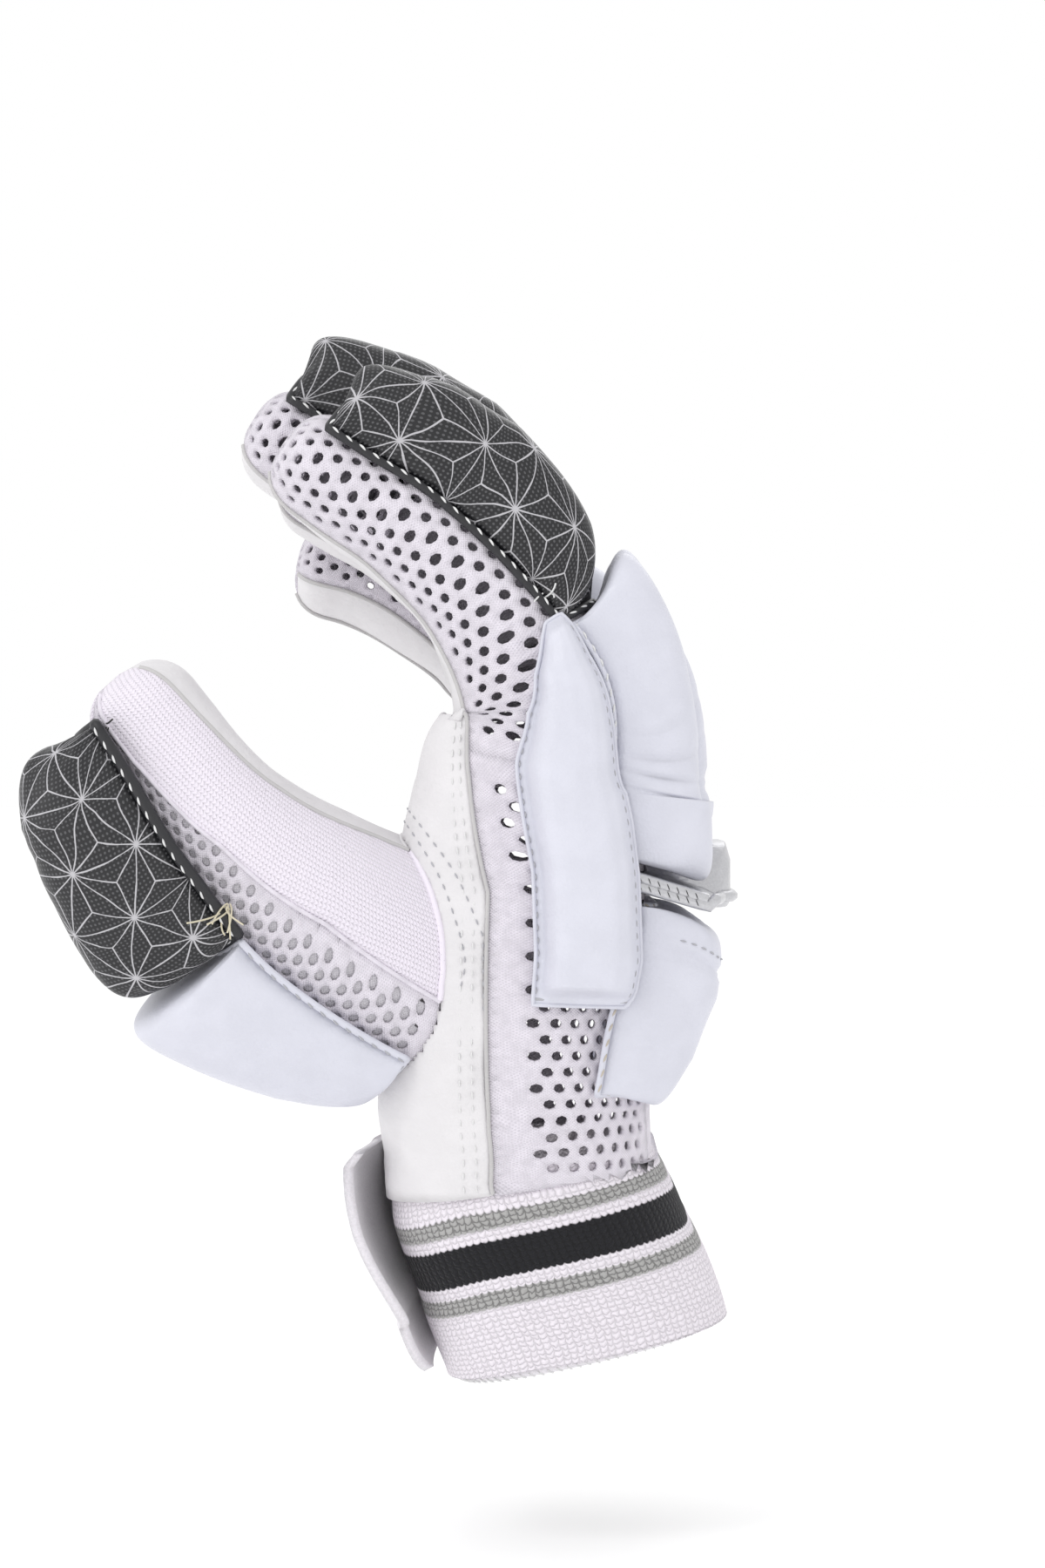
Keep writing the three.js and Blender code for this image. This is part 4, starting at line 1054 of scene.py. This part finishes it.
def build_cuff(outer=-MESH - 0.66, cols=160, count=60):
    t, angle = np.meshgrid(np.linspace(0, CUFF_TOP, count + 1), 360 * np.arange(cols) / cols, indexing="ij")
    sec = hand_path(t)
    side = np.where((angle > 0) & (angle < 180), 1.0, -1.0)
    shift = np.where(angle % 180 == 0, 0, side * sec["flat"])
    tucked = 1.3 * np.clip((t - 1.78) / 0.12, 0, 1)
    net = section_point(sec, angle, shift, outer - tucked)
    u = np.cumsum(np.linalg.norm(np.diff(net, axis=1, append=net[:, :1]), axis=2), 1)
    u = np.concatenate([np.zeros((count + 1, 1)), u], 1)[:, :-1]
    u = u / u[:, -1:] * 219.0
    v = np.concatenate([np.zeros((1, cols)), np.cumsum(np.linalg.norm(np.diff(net, axis=0), axis=2), 0)], 0)
    faces = grid_faces(count + 1, cols, ring=True)
    obj = net_object("cuff", net, np.stack([u, v], -1), faces, "cuff")
    outward(obj, 0, (0, 0, 0))
    solid_wall(obj, 2.6)
    finish_piece(obj, ["wristband"])
    rim = section_point(hand_path(np.full(cols, 0.02)), angle[0], shift[0], np.full(cols, outer - 1.1))
    tube("cuff_overlock", rim, 1.5, "fleece", closed=True)
    loop = np.concatenate([rim, rim[:1]])
    down = np.tile(np.array([0, 0, -1.0]), (len(loop), 1))
    out = unit(loop - hand_path(np.zeros(len(loop)))["centre"])
    line = loop + (out * 0.8 + down) * 1.05
    stitches("cuff_edge_threads", line, out + down, "white_thread", 1.5, 0.9, 0.32, slant=1.4)


def build_strap():
    share, free = np.meshgrid(np.linspace(0, 1, 41), np.linspace(0, 1, 61), indexing="ij")
    at = lerp(0.6, 2.38, share)
    sec = hand_path(at)
    base = lerp(-MESH + 0.45, 3.6 * CLEARANCE, np.clip((at - 1.2) / 0.6, 0, 1))
    high = 14 + 18 * np.sin(np.pi * np.minimum(1, share * 1.25))
    loose = np.maximum(0, (free - 0.5) / 0.5) ** 2
    lift = base + loose * (4.6 + 5.6 * np.sin(np.pi * share**0.8))
    low = np.full(at.shape, -120.0)
    outside, inside = (around_point(sec, low, high, free, lift + wall) for wall in (2.6, 0))
    finish_piece(wall_object("strap", outside, inside, "fleece"), ["wrist_strap"])


def build_side_bar(count=90, cols=44):
    path = PATHS["index"]
    across = listed([0, 0.07, 0.1, 0.3, 0.55, 0.78, 0.93, 0.97, 1], np.linspace(0, 1, cols + 1))
    heights = np.interp(across, [0, 0.06, 0.085, 0.12, 0.2, 0.32, 0.55, 0.78, 0.90, 0.955, 0.985, 1],
                        [0, 0.0, 0.12, 0.5, 0.8, 0.95, 1, 0.94, 0.72, 0.38, 0.12, 0])
    t = np.linspace(0, 1, count + 1)
    at = lerp(SIDE_BAR[0][0], SIDE_BAR[-1][0], 0.4 * t + 0.6 * (0.5 - 0.5 * np.cos(np.pi * t)))
    at = at[:, None] * np.ones(cols + 1)[None]
    sec = path(at)
    depth = lerp(table(SIDE_BAR, at, 1), table(SIDE_BAR, at, 2), across[None])
    width = width_at_depth(sec, -depth) + CLEARANCE
    rise = FLANGE + (SIDE_BAR_THICK - FLANGE) * heights[None] * table(SIDE_BAR, at, 3)
    rise = rise - 0.35 * np.exp(-((at - 6.1) / 0.25) ** 2) * heights[None]
    inside = sec["centre"] + sec["back"] * depth[..., None] - sec["side"] * width[..., None]
    outside = inside - sec["side"] * rise[..., None]
    finish_piece(wall_object("side_bar", outside, inside, "white"), ["side_bar_pad"])
    for k, spot in enumerate((0.03, 0.965)):
        col = int(round(np.interp(spot, across, np.arange(cols + 1))))
        line, out = outside[4:-3, col], -sec["side"][4:-3, col]
        stitches(f"side_bar_edge_{k}", line, out, "grey_thread", 1.7, 1.4, 0.25, 0.05)
    tube("side_bar_rim", resample(border_of(outside), 1.0)[:-1], RIM, "white", closed=True)
    line = inside[3] * 0.45 + outside[3] * 0.55
    tube("side_bar_low_seam", line - sec["side"][3] * 0.4, RIM, "grey_thread")


BRIDGE = dict(reach=32.6, knob_reach=36.4, knob_high=127.6, thick=4.2, seat_z=118.4, end_z=112.6, end=53.0)


def bridge_ring(width):
    """One section of the silver piece: a flat band that rises to a knob over the knuckles."""
    sec = hand_path(np.array(5.0))
    seat_z, end_z, half = BRIDGE["seat_z"], BRIDGE["end_z"], BRIDGE["thick"] / 2
    deep = float(sec["deep"])
    inner = float(sec["centre"][0]) + max(float(back_depth(sec, np.array(width))), 0.86 * deep) + 0.6
    over = abs(width) / 28.5
    knob = 1 - over**8 if over < 1 else 0.0
    outer = lerp(BRIDGE["reach"], BRIDGE["knob_reach"], knob) - 2.4 * (abs(width) / BRIDGE["end"]) ** 6
    rise = knob * (BRIDGE["knob_high"] - end_z - half)
    mid = [lerp(seat_z, end_z, s) for s in (0, 0.4, 0.8, 1)]
    near, far = lerp(inner, outer, 0.4), lerp(inner, outer, 0.8)
    ring = [(inner, mid[0] - half), (near, mid[1] - half), (far, mid[2] - half),
            (outer - 0.9, mid[3] - half + 0.4), (outer, mid[3]),
            (outer, mid[3] + half * 0.6 + rise * 0.72), (outer - 1.3, mid[3] + half + rise),
            (lerp(far, outer - 7, knob), mid[2] + half + rise * 0.9), (near, mid[1] + half + rise * 0.35),
            (inner, mid[0] + half + rise * 0.12)]
    return [(x, LEAN + width, z) for x, z in ring]


def build_bridge(cols=70):
    bend = 0.43 * math.pi
    widths = [BRIDGE["end"] * math.sin((j / cols - 0.5) * 2 * bend) / math.sin(bend) for j in range(cols + 1)]
    net = np.array([bridge_ring(width) for width in widths])
    faces = grid_faces(cols + 1, 10, ring=True)
    faces += [tuple(range(9, -1, -1)), tuple(cols * 10 + k for k in range(10))]
    obj = new_object("bridge", net.reshape(-1, 3), faces, None, "silver")
    bevel = obj.modifiers.new("round", "BEVEL")
    bevel.width = 0.6 * MM
    bevel.segments = 3
    apply(obj)
    obj.data.shade_smooth()
    finish_piece(obj, ["knuckle_bridge"])
    first, last = net[0], net[-1]
    low = [lerp(first[0], first[3], s) + (0, -0.5, 1.2) for s in np.linspace(0.05, 1, 10)]
    low += [p + (0.5, 0, 1.2) for p in net[1:-1, 4]]
    low += [lerp(last[3], last[0], s) + (0, 0.5, 1.2) for s in np.linspace(0, 0.95, 10)]
    high = [lerp(first[9], first[6], s) + (0, -0.5, -0.9) for s in np.linspace(0.05, 1, 10)]
    for k, run in enumerate((np.array(low), np.array(high))):
        tube(f"bridge_piping_{k}", run, 1.45, "silver")
        line, out = run[:10] + (0, -1.3, 0), np.tile([0, -1.0, 0], (10, 1))
        stitches(f"bridge_threads_{k}", line, out, "black_thread", 1.1, 1.3, 0.22, slant=1.2)


def on_panel(path, at, angle, offset):
    """A point on a section's outside and the way out from its centre."""
    at, angle = np.array([at], float), np.array([angle], float)
    sec = path(at)
    side = np.where(np.sin(np.radians(angle)) < 0, -1.0, 1.0)
    point = section_point(sec, angle, side * sec["flat"], np.full(at.shape, offset))
    return point[0], unit(point - sec["centre"])[0]


def build_thread_ends():
    """Tack threads left at the ends of seams: short loose hairs of thread."""
    spots = [
        ("cap_tack", PATHS["index"], 7.75, 128.0, "white_thread", 3, 5.0),
        ("thumb_tip_thread", thumb_path, 4.5, 118.0, "black_thread", 3, 7.0),
        ("thumb_tuft", thumb_path, 2.62, 120.0, "cream_thread", 9, 9.0),
        ("roll_thread", hand_path, 5.0, 150.0, "black_thread", 3, 6.0),
    ]
    for name, path, at, angle, look, count, length in spots:
        point, out = on_panel(path, at, angle, 2.2)
        for k in range(count):
            way = unit(out * 0.7 + rng.normal(0, 0.55, 3))
            bend = rng.normal(0, 0.35, 3)
            t = np.linspace(0, 1, 9)[:, None]
            root = point + rng.normal(0, 0.5, 3)
            line = root + way * t * length * rng.uniform(0.6, 1) + bend * (t**2) * length
            tube(f"{name}_{k}", line, 0.22, look, sides=4)


def build_palm_stitches():
    """Two rows of stitches round the root of the thumb, on the palm leather."""
    sec = thumb_path(np.array(1.55))
    for k, grow in enumerate((3.2, 6.2)):
        hits = []
        for a in np.radians(np.linspace(-75, 95, 90)):
            c, s = math.cos(a), math.sin(a)
            reach = (abs(c) / (sec["deep"] + grow)) ** CORNER + (abs(s) / (sec["round"] + grow)) ** CORNER
            start = sec["centre"] - (sec["back"] * c + sec["side"] * s) * reach ** (-1 / CORNER)
            hits.append(cast_on_palm(start, sec["along"]))
        line, ways = zip(*[hit for hit in hits if hit is not None])
        stitches(f"thumb_root_stitches_{k}", line, ways, "grey_thread", 1.6, 1.5, 0.22, 0.05)


def cast_on_palm(start, along):
    """Where a line along the thumb meets the palm leather from outside."""
    palm = bpy.data.objects["palm"]
    origin = Vector((start + along * 60) * MM)
    hit, place, normal, _ = palm.ray_cast(origin, Vector(-along))
    return (np.array(place) / MM, np.array(normal)) if hit else None


for order, finger in enumerate(FINGERS):
    build_finger(finger, order)
build_thumb()
build_hand()
build_cuff()
build_strap()
build_side_bar()
build_bridge()
build_thread_ends()
build_palm_stitches()


# Floor, light and camera

def plain_floor(size=30.0, z=-0.05):
    n = Nodes("pale floor")
    n.done((0.93, 0.93, 0.93), 0.9)
    n.put(n.bsdf.inputs["Emission Color"], (1, 1, 1))
    n.put(n.bsdf.inputs["Emission Strength"], 0.12)
    mesh = bpy.data.meshes.new("floor")
    corners = [(-size, -size, z), (size, -size, z), (size, size, z), (-size, size, z)]
    mesh.from_pydata(corners, [], [(0, 1, 2, 3)])
    mesh.materials.append(n.mat)
    floor = bpy.data.objects.new("floor", mesh)
    bpy.context.scene.collection.objects.link(floor)


def area_light(name, place, aim, size, power_w):
    light = bpy.data.lights.new(name, "AREA")
    light.energy = power_w
    light.size = size
    obj = bpy.data.objects.new(name, light)
    bpy.context.scene.collection.objects.link(obj)
    obj.location = place
    obj.rotation_euler = (Vector(aim) - Vector(place)).to_track_quat("-Z", "Y").to_euler()


plain_floor()
world = bpy.data.worlds.new("studio")
world.use_nodes = True
world.node_tree.nodes["Background"].inputs["Color"].default_value = (1, 1, 1, 1)
world.node_tree.nodes["Background"].inputs["Strength"].default_value = 1.0
bpy.context.scene.world = world
MIDDLE = (-0.02, 0, 0.12)
area_light("key", (-0.55, -0.8, 1.1), MIDDLE, 0.5, 3.3)
area_light("fill", (0.9, -0.7, 0.3), MIDDLE, 0.8, 0.4)
area_light("left", (-0.9, -0.5, 0.0), (-0.03, 0, 0.08), 0.6, 1.6)
area_light("rim", (0.3, 0.9, 0.9), MIDDLE, 0.7, 1.6)

CAMERA_AWAY = 1.0
HALF_VIEW = 0.2025
camera = bpy.data.cameras.new("camera")
camera.sensor_fit = "VERTICAL"
camera.angle = 2 * math.atan(HALF_VIEW / CAMERA_AWAY)
camera.clip_start = 0.05
view = bpy.data.objects.new("camera", camera)
view.location = (-0.0162, -CAMERA_AWAY, 0.1419)
view.rotation_euler = (math.radians(90), 0, 0)
bpy.context.scene.collection.objects.link(view)
bpy.context.scene.camera = view
bpy.context.scene.view_settings.view_transform = "Standard"

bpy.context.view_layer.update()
